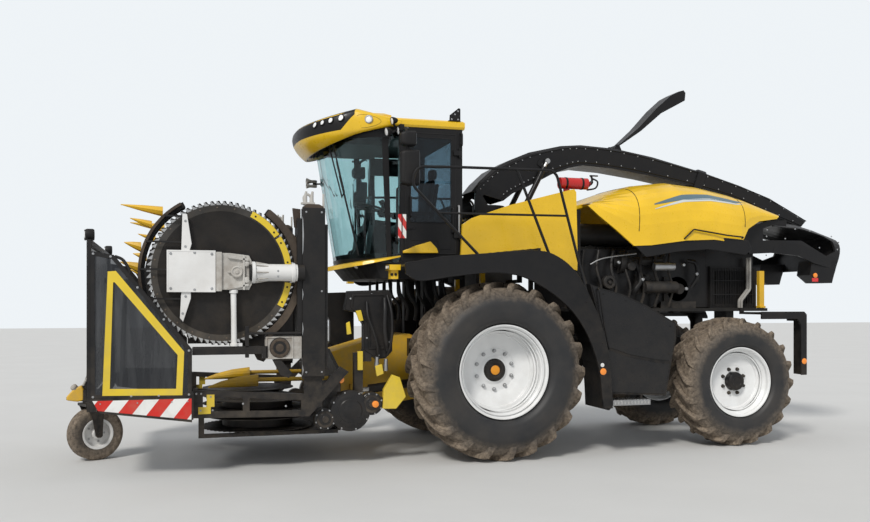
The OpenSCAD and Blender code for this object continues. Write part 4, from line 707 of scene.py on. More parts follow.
front_steps = add_hoops(Shape(), [
    [(473, -85), (473, 60), (440, 52), (432, 18), (345, 0), (330, -6), (262, -33), (262, -45)],
    [(473, 95), (456, 100), (456, 122), (473, 128)], [(473, 190), (463, 194), (463, 206), (473, 210)],
    [(506, 268), (497, 273), (497, 292), (506, 297)]], FRONT_WHEEL)
rear_steps = add_hoops(Shape(), [
    [(372, 40), (372, 122), (346, 114), (336, 96), (270, 88), (205, 84), (205, 76)],
    [(372, 150), (360, 154), (360, 168), (372, 172)]], REAR_WHEEL)


def mirror_if(shape, right):
    if not right:
        return shape
    other = Shape().copy_of(shape, lambda p: (p[0], -p[1], p[2]))
    other.faces = [list(reversed(face)) for face in other.faces]
    return other


WHEEL_COVERS = (
    (front_steps, "front_rim_steps_", rim_white, "wheel_f", "rim_white", 3),
    (rear_steps, "rear_rim_steps_", rim_white, "wheel_r", "rim_white", 3),
    (front_cap, "front_hub_", moulded_black, "wheel_f", "paint_black", 3),
    (front_centre, "front_hub_centre_", hub_orange, "wheel_f", "paint_yellow", 0),
    (front_nuts, "front_nuts_", galvanised, "wheel_f", "bare_steel", 0),
    (rear_cap, "rear_hub_", panel_black, "wheel_r", "paint_black", 3),
    (rear_nuts, "rear_nuts_", chassis_black, "wheel_r", "paint_black", 0),
)
for right, mark in ((False, "l"), (True, "r")):
    for shape, name, material, body, slot, bevel in WHEEL_COVERS:
        make(mirror_if(shape, right), name + mark, material, body + mark, slot, bevel=bevel)
print("wheel covers:", 2 * len(WHEEL_COVERS))

# %% [markdown]
# ## The folded header
# Each wing of the header carries one big rotor, folded upright beside the machine for the road.
# Its left half is drawn here and mirrored. Whatever turns with a rotor rides on that rotor, and
# the guards, gearboxes and arms ride on the header.

# %% Rings joined by strips, for borders and flat arcs
ROTOR_X, ROTOR_Z, ROTOR_FACE = -3180.0, 2174.0, 1345.0


def add_border(shape, outer, inner, axis, start, end):
    """A flat frame between two outlines with the same number of corners."""
    count = len(outer)
    points = [spot_on(axis, p, h) for h in (start, end) for line in (outer, inner) for p in line]
    faces = []
    for i in range(count):
        j = (i + 1) % count
        faces.append([i, j, count + j, count + i])
        faces.append([2 * count + i, 3 * count + i, 3 * count + j, 2 * count + j])
        faces.append([i, 2 * count + i, 2 * count + j, j])
        faces.append([count + i, count + j, 3 * count + j, 3 * count + i])
    return shape.add(points, faces)


def add_arc(shape, centre, r_in, r_out, y0, y1, start, end, steps):
    """A flat arc in the X and Z plane between two angles in degrees."""
    rings = []
    for k in range(steps + 1):
        turn = math.radians(start + (end - start) * k / steps)
        c, s = math.cos(turn), math.sin(turn)
        rings.append([(centre[0] + r * c, y, centre[1] + r * s)
                      for r, y in ((r_in, y0), (r_out, y0), (r_out, y1), (r_in, y1))])
    return add_rings(shape, rings)


def both_sides(shape, name, material, body, slot, **options):
    return make(shape.mirrored(), name, material, body, slot, **options)


def header_pair(shape, name, material, slot="paint_black", **options):
    return both_sides(shape, name, material, "header", slot, **options)


def chassis_pair(shape, name, material, slot="paint_black", **options):
    return both_sides(shape, name, material, "chassis", slot, **options)


def on_rotor(radius, degrees):
    """X and Z on a circle round the folded rotor's axis."""
    turn = math.radians(degrees)
    return ROTOR_X + radius * math.cos(turn), ROTOR_Z + radius * math.sin(turn)


# %% Rotor faces: worn ring, bolts and knives
ring_steel = painted("ring_steel", (0.075, 0.072, 0.068), 0.4, 0.35, 0.3, metal=0.7, tone=0.5, low_z=1.0,
                     high_z=3.2)
face_ring, knife_ring, face_bolts, face_grooves = Shape(), Shape(), Shape(), Shape()
add_border(
    face_ring, [on_rotor(748, a) for a in range(0, 360, 4)], [on_rotor(668, a) for a in range(0, 360, 4)],
    "y", -ROTOR_FACE - 1.6, -ROTOR_FACE + 2,
)
for k in range(72):
    turn = math.radians(5.0 * k + 2.3)
    tip = math.radians(5.0 * k + 4.4)
    points = []
    for y in (-ROTOR_FACE - 2.4, -ROTOR_FACE + 0.5):
        for r, t in ((735, turn - 0.035), (735, turn + 0.035), (778, tip), (776, tip - 0.012)):
            points.append((ROTOR_X + r * math.cos(t), y, ROTOR_Z + r * math.sin(t)))
    knife_ring.add(points, [[0, 1, 2, 3], [7, 6, 5, 4], [0, 4, 5, 1], [1, 5, 6, 2], [2, 6, 7, 3],
                            [3, 7, 4, 0]])
for k in range(24):
    x, z = on_rotor(706, 15 * k + 4)
    add_bolt(face_bolts, (x, -ROTOR_FACE - 1.6, z), LEFT, 7)
for r in (260, 420, 560, 640):
    add_border(
        face_grooves, [on_rotor(r + 3, a) for a in range(0, 360, 5)],
        [on_rotor(r, a) for a in range(0, 360, 5)], "y", -ROTOR_FACE - 0.8, -ROTOR_FACE + 2,
    )
for right, side in ((False, "left"), (True, "right")):
    body = "wing_rotor_" + side
    make(mirror_if(face_ring, right), "rotor_face_ring_" + side, ring_steel, body, "worn_steel")
    make(mirror_if(knife_ring, right), "rotor_knives_" + side, bright_steel, body, "worn_steel")
    make(mirror_if(face_bolts, right), "rotor_bolts_" + side, worn_steel, body, "worn_steel")
    make(mirror_if(face_grooves, right), "rotor_grooves_" + side, header_black, body, "worn_steel")

# %% Yellow knife guards behind the rotor
knife_guard = Shape()
for start, end in ((6, 33), (35, 64), (-30, -8)):
    add_arc(knife_guard, (ROTOR_X, ROTOR_Z), 682, 752, -ROTOR_FACE - 10, -ROTOR_FACE - 7, start, end, 14)
    add_arc(knife_guard, (ROTOR_X, ROTOR_Z), 748, 752, -ROTOR_FACE - 10, -ROTOR_FACE - 7, start, end, 14)
header_pair(knife_guard, "knife_guards", tape_yellow, "paint_yellow", bevel=1)
guard_bolts = Shape()
for a in (10, 28, 39, 60, -12, -26):
    x, z = on_rotor(714, a)
    add_bolt(guard_bolts, (x, -ROTOR_FACE - 10, z), LEFT, 8)
header_pair(guard_bolts, "knife_guard_bolts", chassis_black)

# %% White gear case and its blades
FRONT_Y = -1443.0
case, blades, case_bolts = Shape(), Shape(), Shape()
add_block(case, (-3752, FRONT_Y, 1965), (-3251, -1402, 2410))
header_pair(case, "wing_gear_case", white_paint, bevel=10)
rim = Shape()
add_border(rim, [(-3752, 1965), (-3251, 1965), (-3251, 2410), (-3752, 2410)],
           [(-3736, 1981), (-3267, 1981), (-3267, 2394), (-3736, 2394)], "y", FRONT_Y - 3, FRONT_Y + 2)
header_pair(rim, "wing_gear_case_rim", white_paint, bevel=1.5)
add_bolts(case_bolts, ((-3712, 2004), (-3712, 2372), (-3290, 2004), (-3290, 2372), (-3468, 2385),
                       (-3468, 1990)), FRONT_Y, 11)
for outline in (
    [(-3604, 2400), (-3520, 2400), (-3497, 2480), (-3545, 2794), (-3592, 2794)],
    [(-3604, 1975), (-3506, 1975), (-3506, 1898), (-3585, 1650), (-3618, 1690)],
):
    add_prism(blades, outline, "y", -1424, -1388)
header_pair(blades, "wing_blades", white_paint, bevel=4)
add_bolts(case_bolts, ((-3562, 2450), (-3562, 2720), (-3560, 1920), (-3590, 1740)), -1424, 10)

# %% Cast gear housing between the case and the arm
cast = Shape()
add_prism(cast, [(-3250, 1992), (-2900, 1992), (-2870, 2050), (-2870, 2300), (-2900, 2362),
                 (-3100, 2386), (-3250, 2386)], "y", -1434, -1366)
for outline in (
    [(-3246, 1975), (-3186, 1975), (-3186, 2395), (-3246, 2395)],
    [(-3122, 2330), (-2905, 2300), (-2905, 2326), (-3122, 2362)],
    [(-3122, 2020), (-2905, 2060), (-2905, 2034), (-3122, 1990)],
    [(-2968, 1990), (-2944, 1990), (-2944, 2360), (-2968, 2372)],
    [(-3122, 2170), (-3050, 2176), (-3050, 2196), (-3122, 2192)],
):
    add_prism(cast, outline, "y", -1462, -1430)
add_turned(cast, [(64, -30), (64, 34), (56, 42), (46, 42), (44, 34), (22, 34), (22, 44), (0, 44)],
           (-3030, -1432, 2185), LEFT, 32)
add_turned(cast, [(34, -20), (34, 26), (26, 30), (0, 30)], (-2925, -1432, 2098), LEFT, 20)
add_turned(cast, [(30, -20), (30, 22), (22, 26), (0, 26)], (-2925, -1432, 2270), LEFT, 20)
header_pair(cast, "wing_gear_casting", cast_white, bevel=5)
arm = Shape()
ARM_Y, ARM_Z = -1441.0, 2180.0
add_turned(arm, [(60, -100), (118, -92), (118, -62), (98, -50), (92, -10), (92, 330), (106, 338),
                 (106, 366), (92, 372), (92, 392)], (-2776, ARM_Y, ARM_Z), (1, 0, 0), 40)
header_pair(arm, "wing_arm", white_paint, bevel=2)
arm_ribs = Shape()
for turn in range(0, 360, 45):
    c, s = math.cos(math.radians(turn)), math.sin(math.radians(turn))
    outline = [(-2880, 70), (-2826, 116), (-2700, 94), (-2700, 84), (-2826, 88), (-2880, 60)]
    rings = [[(x, ARM_Y + c * r - s * w, ARM_Z + s * r + c * w) for x, r in outline] for w in (-5, 5)]
    add_rings(arm_ribs, rings)
header_pair(arm_ribs, "wing_arm_ribs", cast_white, bevel=1)
for k in range(8):
    turn = math.radians(45 * k + 22)
    spot = (-2838, ARM_Y + 106 * math.cos(turn), ARM_Z + 106 * math.sin(turn))
    add_bolt(case_bolts, spot, (1, 0, 0), 9)
    add_bolt(case_bolts, (-2410, ARM_Y + 99 * math.cos(turn), ARM_Z + 99 * math.sin(turn)), (1, 0, 0), 6)
for z in (2150, 2210):
    add_bolt(case_bolts, (-2600, ARM_Y - 91, z - 14), LEFT, 8)
header_pair(case_bolts, "wing_case_bolts", galvanised, "bare_steel")

# %% Upright link, lower gearbox and its shaft
link = Shape()
add_tube(link, [(-3062, -1412, 1985), (-3058, -1412, 1700), (-3056, -1412, 1392)], [33, 31, 33], 20)
add_turned(link, [(46, 0), (46, 30), (34, 40)], (-3062, -1412, 1956), (0, 0, 1), 24)
add_turned(link, [(46, 0), (46, 26), (34, 34)], (-3056, -1412, 1385), (0, 0, 1), 24)
header_pair(link, "wing_link", white_paint, bevel=1)
box, disc = Shape(), Shape()
add_prism(box, [(-2724, 1300), (-2724, 1450), (-2700, 1484), (-2330, 1484), (-2330, 1240), (-2700, 1240)],
          "y", -1430, -1300)
add_border(box, [(-2724, 1240), (-2420, 1240), (-2420, 1484), (-2724, 1484)],
           [(-2706, 1258), (-2438, 1258), (-2438, 1466), (-2706, 1466)], "y", -1440, -1428)
header_pair(box, "wing_gearbox", cast_white, bevel=6)
add_turned(disc, [(112, -4), (112, 12), (100, 20), (74, 20), (70, 12), (46, 12), (42, 22), (0, 22)],
           (-2571, -1428, 1362), LEFT, 40)
for k in range(6):
    turn = math.radians(60 * k)
    add_bolt(disc, (-2571 + 88 * math.cos(turn), -1448, 1362 + 88 * math.sin(turn)), LEFT, 8)
header_pair(disc, "wing_gearbox_cover", rust_brown, "worn_steel", bevel=1.5)
bars = Shape()
add_tube(bars, [(-2905, -1425, 1520), (-2330, -1425, 1520)], 15, 12)
add_block(bars, (-3492, -1444, 1296), (-2762, -1384, 1374))
add_block(bars, (-2940, -1440, 1260), (-2900, -1400, 1600))
add_prism(bars, [(-2650, 1235), (-2560, 1235), (-2430, 1080), (-2470, 1030), (-2560, 1060)],
          "y", -1420, -1385)
header_pair(bars, "wing_lower_bars", header_black, bevel=4)

# %% The upright post with its edges, cap and hinge hardware
post, post_metal = Shape(), Shape()
add_block(post, (-2322, -1444, 1042), (-2074, -1436, 2898))
add_block(post, (-2074, -1418, 1120), (-2040, -1340, 2720))
add_bolts(post_metal, ((-2284, 2850), (-2112, 2850), (-2284, 1090), (-2112, 1090), (-2112, 1980)), -1444, 8)
header_pair(post, "wing_post_skin", header_black, bevel=5)
top = Shape()
add_prism(top, [(-2310, 2890), (-2090, 2890), (-2090, 2915), (-2140, 2940), (-2270, 2940), (-2310, 2915)],
          "y", -1432, -1300)
header_pair(top, "wing_post_cap", rust_brown, "worn_steel", bevel=5)
fitting = Shape()
add_tube(fitting, flowing([(-2290, -1370, 2935), (-2300, -1370, 3020), (-2250, -1370, 3050),
                           (-2210, -1370, 2990), (-2200, -1370, 2935)]), 14, 10)
for x in (-2285, -2215):
    add_tube(fitting, [(x, -1370, 2930), (x, -1370, 3010), (x + 12, -1370, 3085)], [24, 22, 12], 12)
add_block(fitting, (-2330, -1400, 2940), (-2180, -1340, 2962))
add_tube(fitting, [(-2085, -1380, 2890), (-2085, -1380, 3060)], 12, 10)
header_pair(fitting, "wing_hinge_fittings", cast_white, bevel=2)
header_pair(post_metal, "wing_post_bolts", galvanised, "bare_steel")
wear = Shape()
for z0, z1, w in ((2380, 2800, 16), (1880, 2010, 12), (1490, 1640, 12), (1050, 1180, 14)):
    outline = [(-2326, z0), (-2326 + w * 0.6, z0 + 40), (-2326 + w, (z0 + z1) / 2),
               (-2326 + w * 0.5, z1 - 30), (-2326, z1)]
    add_prism(wear, outline, "y", -1446, -1440)
header_pair(wear, "wing_post_wear", galvanised, "worn_steel")

# %% Curved crop guards behind the rotor
crop_guard = Shape()
for r0, r1, y0, y1, a0, a1 in ((800, 868, -1352, -1330, -54, 54), (790, 800, -1352, -1204, -54, 54),
                               (835, 866, -1352, -1100, 120, 236)):
    add_arc(crop_guard, (ROTOR_X, ROTOR_Z), r0, r1, y0, y1, a0, a1, 44)
header_pair(crop_guard, "crop_guards", rust_brown, "worn_steel", bevel=2)
stay = Shape()
for p in ([(-2560, 2790), (-2330, 2520), (-2330, 2440), (-2600, 2740)],
          [(-2470, 1700), (-2330, 1900), (-2330, 1990), (-2510, 1760)],
          [(-2420, 2900), (-2330, 2890), (-2330, 2640), (-2400, 2690)]):
    add_prism(stay, p, "y", -1330, -1300)
header_pair(stay, "crop_guard_stays", rust_brown, "worn_steel", bevel=3)

# %% The guard's film
GUARD_OUT, GUARD_FRONT = -1563.3, -4530
FILM = [(-4490, 2374), (-4270, 2338), (-3500, 1366), (-3500, 872), (-4490, 880)]


def film_top(x):
    """Height of the film's upper edge, which bends at its second corner."""
    (x0, z0), (x1, z1) = FILM[0:2] if x < FILM[1][0] else FILM[1:3]
    return z0 + (x - x0) * (z1 - z0) / (x1 - x0)


def stretched_film(columns, rows, place):
    shape = Shape()
    points = []
    for i in range(columns + 1):
        for j in range(rows + 1):
            u, v = i / columns, j / rows
            hem = min(1, 6 * u, 6 * (1 - u)) * min(1, 6 * v, 6 * (1 - v))
            crease = 2.2 * math.sin(31 * u + 3 * math.sin(4 * v)) + 1.2 * math.sin(53 * u + 5 * v)
            points.append(place(u, v, hem * crease))
    faces = []
    for i in range(columns):
        for j in range(rows):
            a = i * (rows + 1) + j
            faces.append([a, a + rows + 1, a + rows + 2, a + 1])
    return shape.add(points, faces)


def side_film(u, v, wave):
    x = -4490 + 990 * u
    low = 880 - 8 * u
    return x, GUARD_OUT + wave, low + (film_top(x) - low) * v


def front_film(u, v, wave):
    return GUARD_FRONT - 3.3 + min(wave, 0), -1535 + 3070 * u, 860 + 1620 * v


for mark, sign in (("left", 1), ("right", -1)):
    def this_side(u, v, wave, way=sign):
        x, y, z = side_film(u, v, wave)
        return x, way * y, z
    panel = stretched_film(60, 40, this_side)
    piece = make(panel, "guard_film_" + mark, guard_film, "header", "guard_cloth")
front = make(stretched_film(90, 40, front_film), "guard_film_front", guard_film, "header", "guard_cloth")
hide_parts("guard_sheets")

# %% Tape, edging, bolts, corner lamps and striped plate of the guard
tape = Shape()
add_border(
    tape,
    [(-4328, 2172), (-4250, 2178), (-3576, 1342), (-3594, 888), (-4380, 903)],
    [(-4276, 2062), (-4262, 2064), (-3642, 1308), (-3657, 957), (-4308, 972)],
    "y", GUARD_OUT - 5.5, GUARD_OUT - 3.5,
)
header_pair(tape, "guard_tape", tape_yellow, "paint_yellow")
front_tape = Shape()
for side in (-1, 1):
    outer = [(side * 1440, 900), (side * 1440, 2180), (side * 1060, 2180), (side * 700, 1340),
             (side * 700, 900)]
    inner = [(side * 1380, 965), (side * 1380, 2110), (side * 1100, 2110), (side * 765, 1325),
             (side * 765, 965)]
    add_border(front_tape, outer, inner, "x", GUARD_FRONT - 8.5, GUARD_FRONT - 6.5)
make(front_tape, "guard_front_tape", tape_yellow, "header", "paint_yellow")
frame_edge, studs = Shape(), Shape()
add_border(frame_edge, FILM, [(-4455, 2330), (-4290, 2302), (-3540, 1352), (-3540, 910), (-4450, 915)],
           "y", GUARD_OUT - 3.4, GUARD_OUT - 0.9)
header_pair(frame_edge, "guard_edging", header_black, bevel=1)
add_bolts(studs, ((-4470, 893), (-4100, 893), (-3830, 892), (-3528, 893), (-4468, 2352), (-4300, 2325),
                  (-3528, 1352), (-3780, 1680), (-4040, 2010)), GUARD_OUT - 3.4, 9)
for x in (-4400, -4040, -3700, -3540):
    add_bolt(studs, (x, -1561, 820), LEFT, 8)
header_pair(studs, "guard_bolts", galvanised, "bare_steel")
plate = Shape()
add_prism(plate, [(-4475, 852), (-3500, 850), (-3503, 628), (-4423, 750)], "y", -1564, -1560.5)
header_pair(plate, "guard_striped_plate", red_white, "paint_red", bevel=1)
lamp_boxes, lamp_faces = Shape(), Shape()
add_turned(lamp_boxes, [(30, 0), (58, 4), (62, 20), (62, 70), (54, 86), (0, 88)], (-4552, -1440, 2552),
           (1, 0, 0), 32)
add_block(lamp_boxes, (-4530, -1460, 2440), (-4490, -1420, 2520))
add_turned(lamp_faces, [(56, 0), (50, 6), (0, 9)], (-4552, -1440, 2552), (-1, 0, 0), 32)
header_pair(lamp_boxes, "guard_lamp_housings", moulded_black, bevel=2)
header_pair(lamp_faces, "guard_lamp_lenses", lamp_white, "clear_glass")
ropes = Shape()
add_tube(ropes, flowing([(-4260, -1540, 2330), (-4180, -1545, 2290), (-4120, -1545, 2180),
                         (-4140, -1545, 2120)]), 16, 10)
header_pair(ropes, "guard_lashing", header_black)

# %% Yellow marks on the transport beam, and the nose over the caster
marks, nose, nose_lamp = Shape(), Shape(), Shape()
add_prism(marks, [(-3342, 869), (-3261, 867), (-3261, 737), (-3299, 737), (-3299, 663), (-3429, 660),
                  (-3429, 737), (-3342, 737)], "y", -1389, -1384.5)
header_pair(marks, "beam_marks", tape_yellow, "paint_yellow")
mark_bolts = Shape()
add_bolts(mark_bolts, ((-3300, 845), (-3280, 700), (-3405, 700), (-3450, 880), (-3400, 880), (-2960, 760),
                       (-2500, 720)), -1388, 8)
header_pair(mark_bolts, "beam_bolts", galvanised, "bare_steel")
add_prism(nose, [(-4879, 716), (-4879, 756), (-4800, 848), (-4712, 884), (-4690, 840), (-4690, 708),
                 (-4760, 696)], "y", -74, 74)
make(nose, "caster_nose", frame_yellow, "header", "paint_yellow", bevel=16, segments=3)
add_turned(nose_lamp, [(40, -10), (40, 26), (30, 36), (0, 38)], (-4790, -40, 856), (-0.55, -0.5, 0.7), 24)
add_tube(nose_lamp, [(-4700, -30, 880), (-4660, -34, 960), (-4628, -40, 1036)], [14, 12, 14], 12)
add_block(nose_lamp, (-4660, -70, 1000), (-4615, 40, 1036))
make(nose_lamp, "caster_nose_lamp", cast_white, "header", "paint_black", bevel=2)

# %% The caster wheel: ribbed rubber on a white disc
TURN = math.radians(25)
CASTER = Vector((-4570.5, 33.8, 310.0))
CASTER_AXIS = Vector((-math.sin(TURN), math.cos(TURN), 0))
grooved = [(180, -92), (200, -97), (250, -99), (288, -94), (302, -80)]
for y in (-56, -20, 20, 56):
    grooved += [(309.6, y - 10), (309.6, y - 5), (301, y - 3), (301, y + 3), (309.6, y + 5),
                (309.6, y + 10)]
grooved += [(302, 80), (288, 94), (250, 99), (200, 97), (180, 92), (178, 0), (180, -92)]
rings = []
for j in range(73):
    turn = 2 * math.pi * j / 72
    way = Vector((math.cos(turn) * math.cos(TURN), math.cos(turn) * math.sin(TURN), math.sin(turn)))
    rings.append([CASTER + way * r + CASTER_AXIS * y for r, y in grooved])
caster_tyre = make(add_rings(Shape(), rings, capped=False, closed=False), "caster_tyre", caster_rubber,
                   "caster_roller", "tyre_rubber", sharp=40)
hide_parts("caster_wheel")
disc, nuts = Shape(), Shape()
add_turned(disc, [(22, -95), (60, -95), (60, -15), (150, -15), (150, -85), (178, -95), (182, -95),
                  (182, 95), (178, 95), (150, 85), (150, 15), (60, 15), (60, 95), (22, 95)],
           CASTER, CASTER_AXIS, 48)
make(disc, "caster_disc", white_paint, "caster_roller", "rim_white", bevel=3)
for k in range(5):
    turn = 2 * math.pi * k / 5
    way = Vector((math.cos(turn) * math.cos(TURN), math.cos(turn) * math.sin(TURN), math.sin(turn)))
    for side in (-1, 1):
        add_bolt(nuts, CASTER + way * 100 + CASTER_AXIS * 15 * side, CASTER_AXIS * side, 10)
make(nuts, "caster_nuts", galvanised, "caster_roller", "bare_steel")

# %% [markdown]
# ## The cab
# The visor is a skin over sections that swell from the sides to the nose. The same sections give
# any point on it, so the black insert, the lamps and the painted shade under the visor follow it
# exactly. The windscreen is a bow in plan that leans forward, and its points come from a like
# function.

# %% Points on the visor and on the windscreen
VISOR_SECTIONS = [
    [(-260, 0), (0, 0), (18, 3), (30, 12), (38, 28), (36, 52), (10, 80), (-260, 108)],
    [(-260, 0), (8, 0), (25, -98), (62, -110), (98, -60), (96, 110), (30, 190), (-260, 230)],
    [(-260, 0), (15, 0), (75, -270), (120, -286), (236, -160), (272, -25), (190, 50), (-260, 160)],
]
CAB_BACK, CAB_HALF, ROOF_Z = -1080.0, 880.0, 3960.3
VISOR_NOSE = -1960.0
GLASS_NOSE, GLASS_LEAN, GLASS_LOW, GLASS_RISE, GLASS_HALF = -1690, 270, 2335, 1565, 865
BOW_X, BOW_Y = 0.8, 0.75


def on_visor(angle, share, out=0.0):
    """angle 0 is the left rear end, 90 the nose; share 0 to 7 runs round the section."""
    turn = math.radians(angle)
    s, c = math.sin(turn), math.cos(turn)
    blend = 2 * s if s < 0.5 else 2 * s - 1
    first, second = VISOR_SECTIONS[0:2] if s < 0.5 else VISOR_SECTIONS[1:3]
    i = min(int(share), 6)
    t = share - i

    def corner(k):
        k = min(7, max(k, i if i < 3 else k))
        return Vector(first[k]).lerp(Vector(second[k]), blend)

    last, here, then, far = (corner(k) for k in (i - 1, i, i + 1, i + 2 if i > 1 else i + 1))
    square, cube = 2 * last - 5 * here + 4 * then - far, 3 * here - last - 3 * then + far
    spot = 0.5 * (2 * here + (then - last) * t + square * t**2 + cube * t**3)
    slope = (then - last) + 2 * square * t + 3 * cube * t**2
    if i < 2:
        spot, slope = here.lerp(then, t), then - here
    slope.normalize()
    d = spot.x + out * slope.y
    z = spot.y - out * slope.x
    x = CAB_BACK - (CAB_BACK - VISOR_NOSE) * s**BOW_X - s * d
    y = -CAB_HALF * abs(c) ** BOW_Y * (1 if c > 0 else -1) - c * d
    return Vector((x, y, ROOF_Z + z))


def on_glass(angle, z, out=0.0):
    turn = math.radians(angle)
    s, c = math.sin(turn), math.cos(turn)
    nose = GLASS_NOSE - GLASS_LEAN * (z - GLASS_LOW) / GLASS_RISE - out
    half = GLASS_HALF + out
    x = CAB_BACK - (CAB_BACK - nose) * s**BOW_X
    return Vector((x, -half * abs(c) ** BOW_Y * (1 if c > 0 else -1), z))


# %% A plate that follows a surface
def add_patch(shape, place, columns, rows, thick):
    """A closed plate over a surface: place(u, v, out) gives its points."""
    points = [place(i / columns, j / rows, out)
              for out in (thick[1], thick[0]) for i in range(columns + 1) for j in range(rows + 1)]
    row, half = rows + 1, (columns + 1) * (rows + 1)
    faces = []
    for i in range(columns):
        for j in range(rows):
            a = i * row + j
            faces.append([a, a + row, a + row + 1, a + 1])
            faces.append([half + a, half + a + 1, half + a + row + 1, half + a + row])
    for i in range(columns):
        for a in (i * row, i * row + rows):
            faces.append([a, a + row, half + a + row, half + a])
    for j in range(rows):
        for a in (j, columns * row + j):
            faces.append([a, a + 1, half + a + 1, half + a])
    return shape.add(points, faces)


def facing(place, angle, share):
    """Outward direction of a surface at a point."""
    here = place(angle, share)
    out = place(angle, share, 1.0) - here
    return here, out.normalized()


# %% Black insert, painted shade underneath and edge of the visor
insert, under_visor_shade, visor_skin = Shape(), Shape(), Shape()
add_patch(visor_skin, lambda u, v, out: on_visor(180 * u, 2 + 4.98 * v, out), 96, 30, (-3, 1.0))
make(visor_skin, "visor_skin", panel_yellow, "chassis", "paint_yellow", sharp=50)


def insert_place(u, v, out):
    angle = 30 + 120 * u
    near = 1 - min(1, abs(angle - 90) / 60)
    low = 4.12 + 0.15 * near
    high = 6.1 - 0.2 * near
    slant = max(0.0, (abs(angle - 90) - 50) / 10)
    return on_visor(angle, low + (high - low) * v + 0.9 * slant * (1 - v), out)


add_patch(insert, insert_place, 72, 6, (-4, 2.5))
make(insert, "visor_insert", panel_black, "chassis", "paint_black", bevel=1.5, sharp=50)
# A black patch over the visor's underside and lower curve is painted shade under the overhang.
add_patch(under_visor_shade, lambda u, v, out: on_visor(4 + 172 * u, 0.9 + 1.9 * v, out), 72, 6, (-4, 1.5))
make(under_visor_shade, "visor_painted_shade", moulded_black, "chassis", "paint_black", sharp=50)

# %% Lamps in the visor
sockets, lenses, rings = Shape(), Shape(), Shape()
for angle, share, size in ((60.5, 5.0, 32), (54, 5.0, 28), (47.5, 5.0, 32), (40, 5.0, 37)):
    for way in (angle, 180 - angle):
        spot, out = facing(on_visor, way, share)
        add_turned(sockets, [(size + 12, -14), (size + 12, 4), (size + 6, 9), (size + 1, 9), (size, 1)],
                   spot, out, 32)
        add_turned(lenses, [(size, -8), (size, 3), (size * 0.7, 7), (0, 9)], spot, out, 32)
for way in (19.5, 160.5):
    spot, out = facing(on_visor, way, 4.7)
    add_turned(rings, [(50, -12), (50, 6), (44, 12), (36, 12), (34, 4)], spot, out, 40)
    add_turned(lenses, [(35, -8), (35, 5), (26, 9), (0, 11)], spot, out, 40)
make(sockets, "visor_lamp_sockets", moulded_black, "chassis", "black_plastic", bevel=1)
make(lenses, "visor_lamp_lenses", lamp_white, "chassis", "clear_glass")
make(rings, "visor_lamp_rings", galvanised, "chassis", "bare_steel", bevel=1)
seams = Shape()
for way in (0, 1):
    line = []
    for k in range(41):
        t = 2 * math.pi * k / 40
        angle = 20.5 + 9.5 * math.cos(t)
        share = 4.55 + 0.62 * math.sin(t)
        line.append(on_visor(180 - angle if way else angle, share, 0.2))
    add_tube(seams, line[4:34], 2.2, 6)
make(seams, "visor_seams", panel_black, "chassis", "paint_black")

# %% Roof hatch and aerial bracket
roof_parts = Shape()
add_border(roof_parts, [(-1060, -700), (-420, -700), (-420, 700), (-1060, 700)],
           [(-1040, -680), (-440, -680), (-440, 680), (-1040, 680)], "z", 4056, 4066)
add_block(roof_parts, (-900, -330, 4060), (-480, 330, 4074))
add_tube(roof_parts, bent([(-860, 300, 4068), (-860, 300, 4106), (-560, 300, 4106),
                           (-560, 300, 4068)], 20), 9, 10)
make(roof_parts, "roof_hatch", moulded_black, "chassis", "black_plastic", bevel=3)
aerial = Shape()
add_prism(aerial, [(-470, 4060), (-330, 4060), (-330, 4214), (-352, 4220), (-466, 4128)], "y", -896, -890)
add_block(aerial, (-480, -894, 4058), (-326, -830, 4066))
add_block(aerial, (-336, -894, 4060), (-328, -836, 4200))
make(aerial, "aerial_bracket", panel_black, "chassis", "paint_black", bevel=2)
aerial_bolts = Shape()
add_bolts(aerial_bolts, ((-440, 4080), (-360, 4080), (-360, 4180), (-400, 4140)), -896, 8)
make(aerial_bolts, "aerial_bolts", galvanised, "chassis", "bare_steel")

# %% Frit, wipers and horns on the windscreen
frit, wiper, blade = Shape(), Shape(), Shape()


def top_frit(u, v, out):
    angle = 6 + 168 * u
    sag = 40 * abs(math.cos(math.radians(angle))) ** 3 * (1 - v)
    return on_glass(angle, 3790 + 106 * v + sag, out)


add_patch(frit, top_frit, 64, 2, (-1, 1.2))
for low, high in ((6, 10.5), (169.5, 174)):
    add_patch(frit, lambda u, v, out: on_glass(low + (high - low) * u, 2350 + 1480 * v, out), 3, 12,
              (-1, 1.2))
add_patch(frit, lambda u, v, out: on_glass(6 + 168 * u, 2342 + 46 * v, out), 64, 1, (-1, 1.2))
make(frit, "windscreen_frit", panel_black, "chassis", "paint_black", sharp=60)
for a0, z0, a1, z1 in ((62, 3830, 54, 3120), (56, 3830, 50, 3180), (128, 3520, 148, 3300)):
    path = [on_glass(a0 + (a1 - a0) * k / 12, z0 + (z1 - z0) * k / 12, 34 - 8 * k / 12) for k in range(13)]
    add_tube(wiper, path, 9, 8)
spot, out = facing(on_glass, 62, 3836)
add_turned(wiper, [(38, -2), (38, 20), (30, 40), (14, 44), (0, 44)], spot, out, 24)
spot, out = facing(on_glass, 56, 3836)
add_turned(wiper, [(30, -2), (30, 20), (22, 38), (0, 40)], spot, out, 24)
add_tube(wiper, [on_glass(54, 3130, 28), on_glass(50, 3180, 28)], 8, 8)
path = [on_glass(56 - 13 * k / 24, 3560 - 1140 * k / 24, 10) for k in range(25)]
add_tube(blade, path, [6] + [9] * 23 + [6], 6)
add_tube(wiper, [on_glass(54 - 9 * k / 10, 3380 - 780 * k / 10, 22) for k in range(11)], 6, 6)
make(wiper, "wiper_arms", panel_black, "chassis", "paint_black")
make(blade, "wiper_blade", hose_rubber, "chassis", "black_plastic")
horn_mount, horns = Shape(), Shape()
base, out = facing(on_glass, 118, 3420)
add_turned(horn_mount, [(34, -1), (34, 10), (14, 16)], base, out, 20)
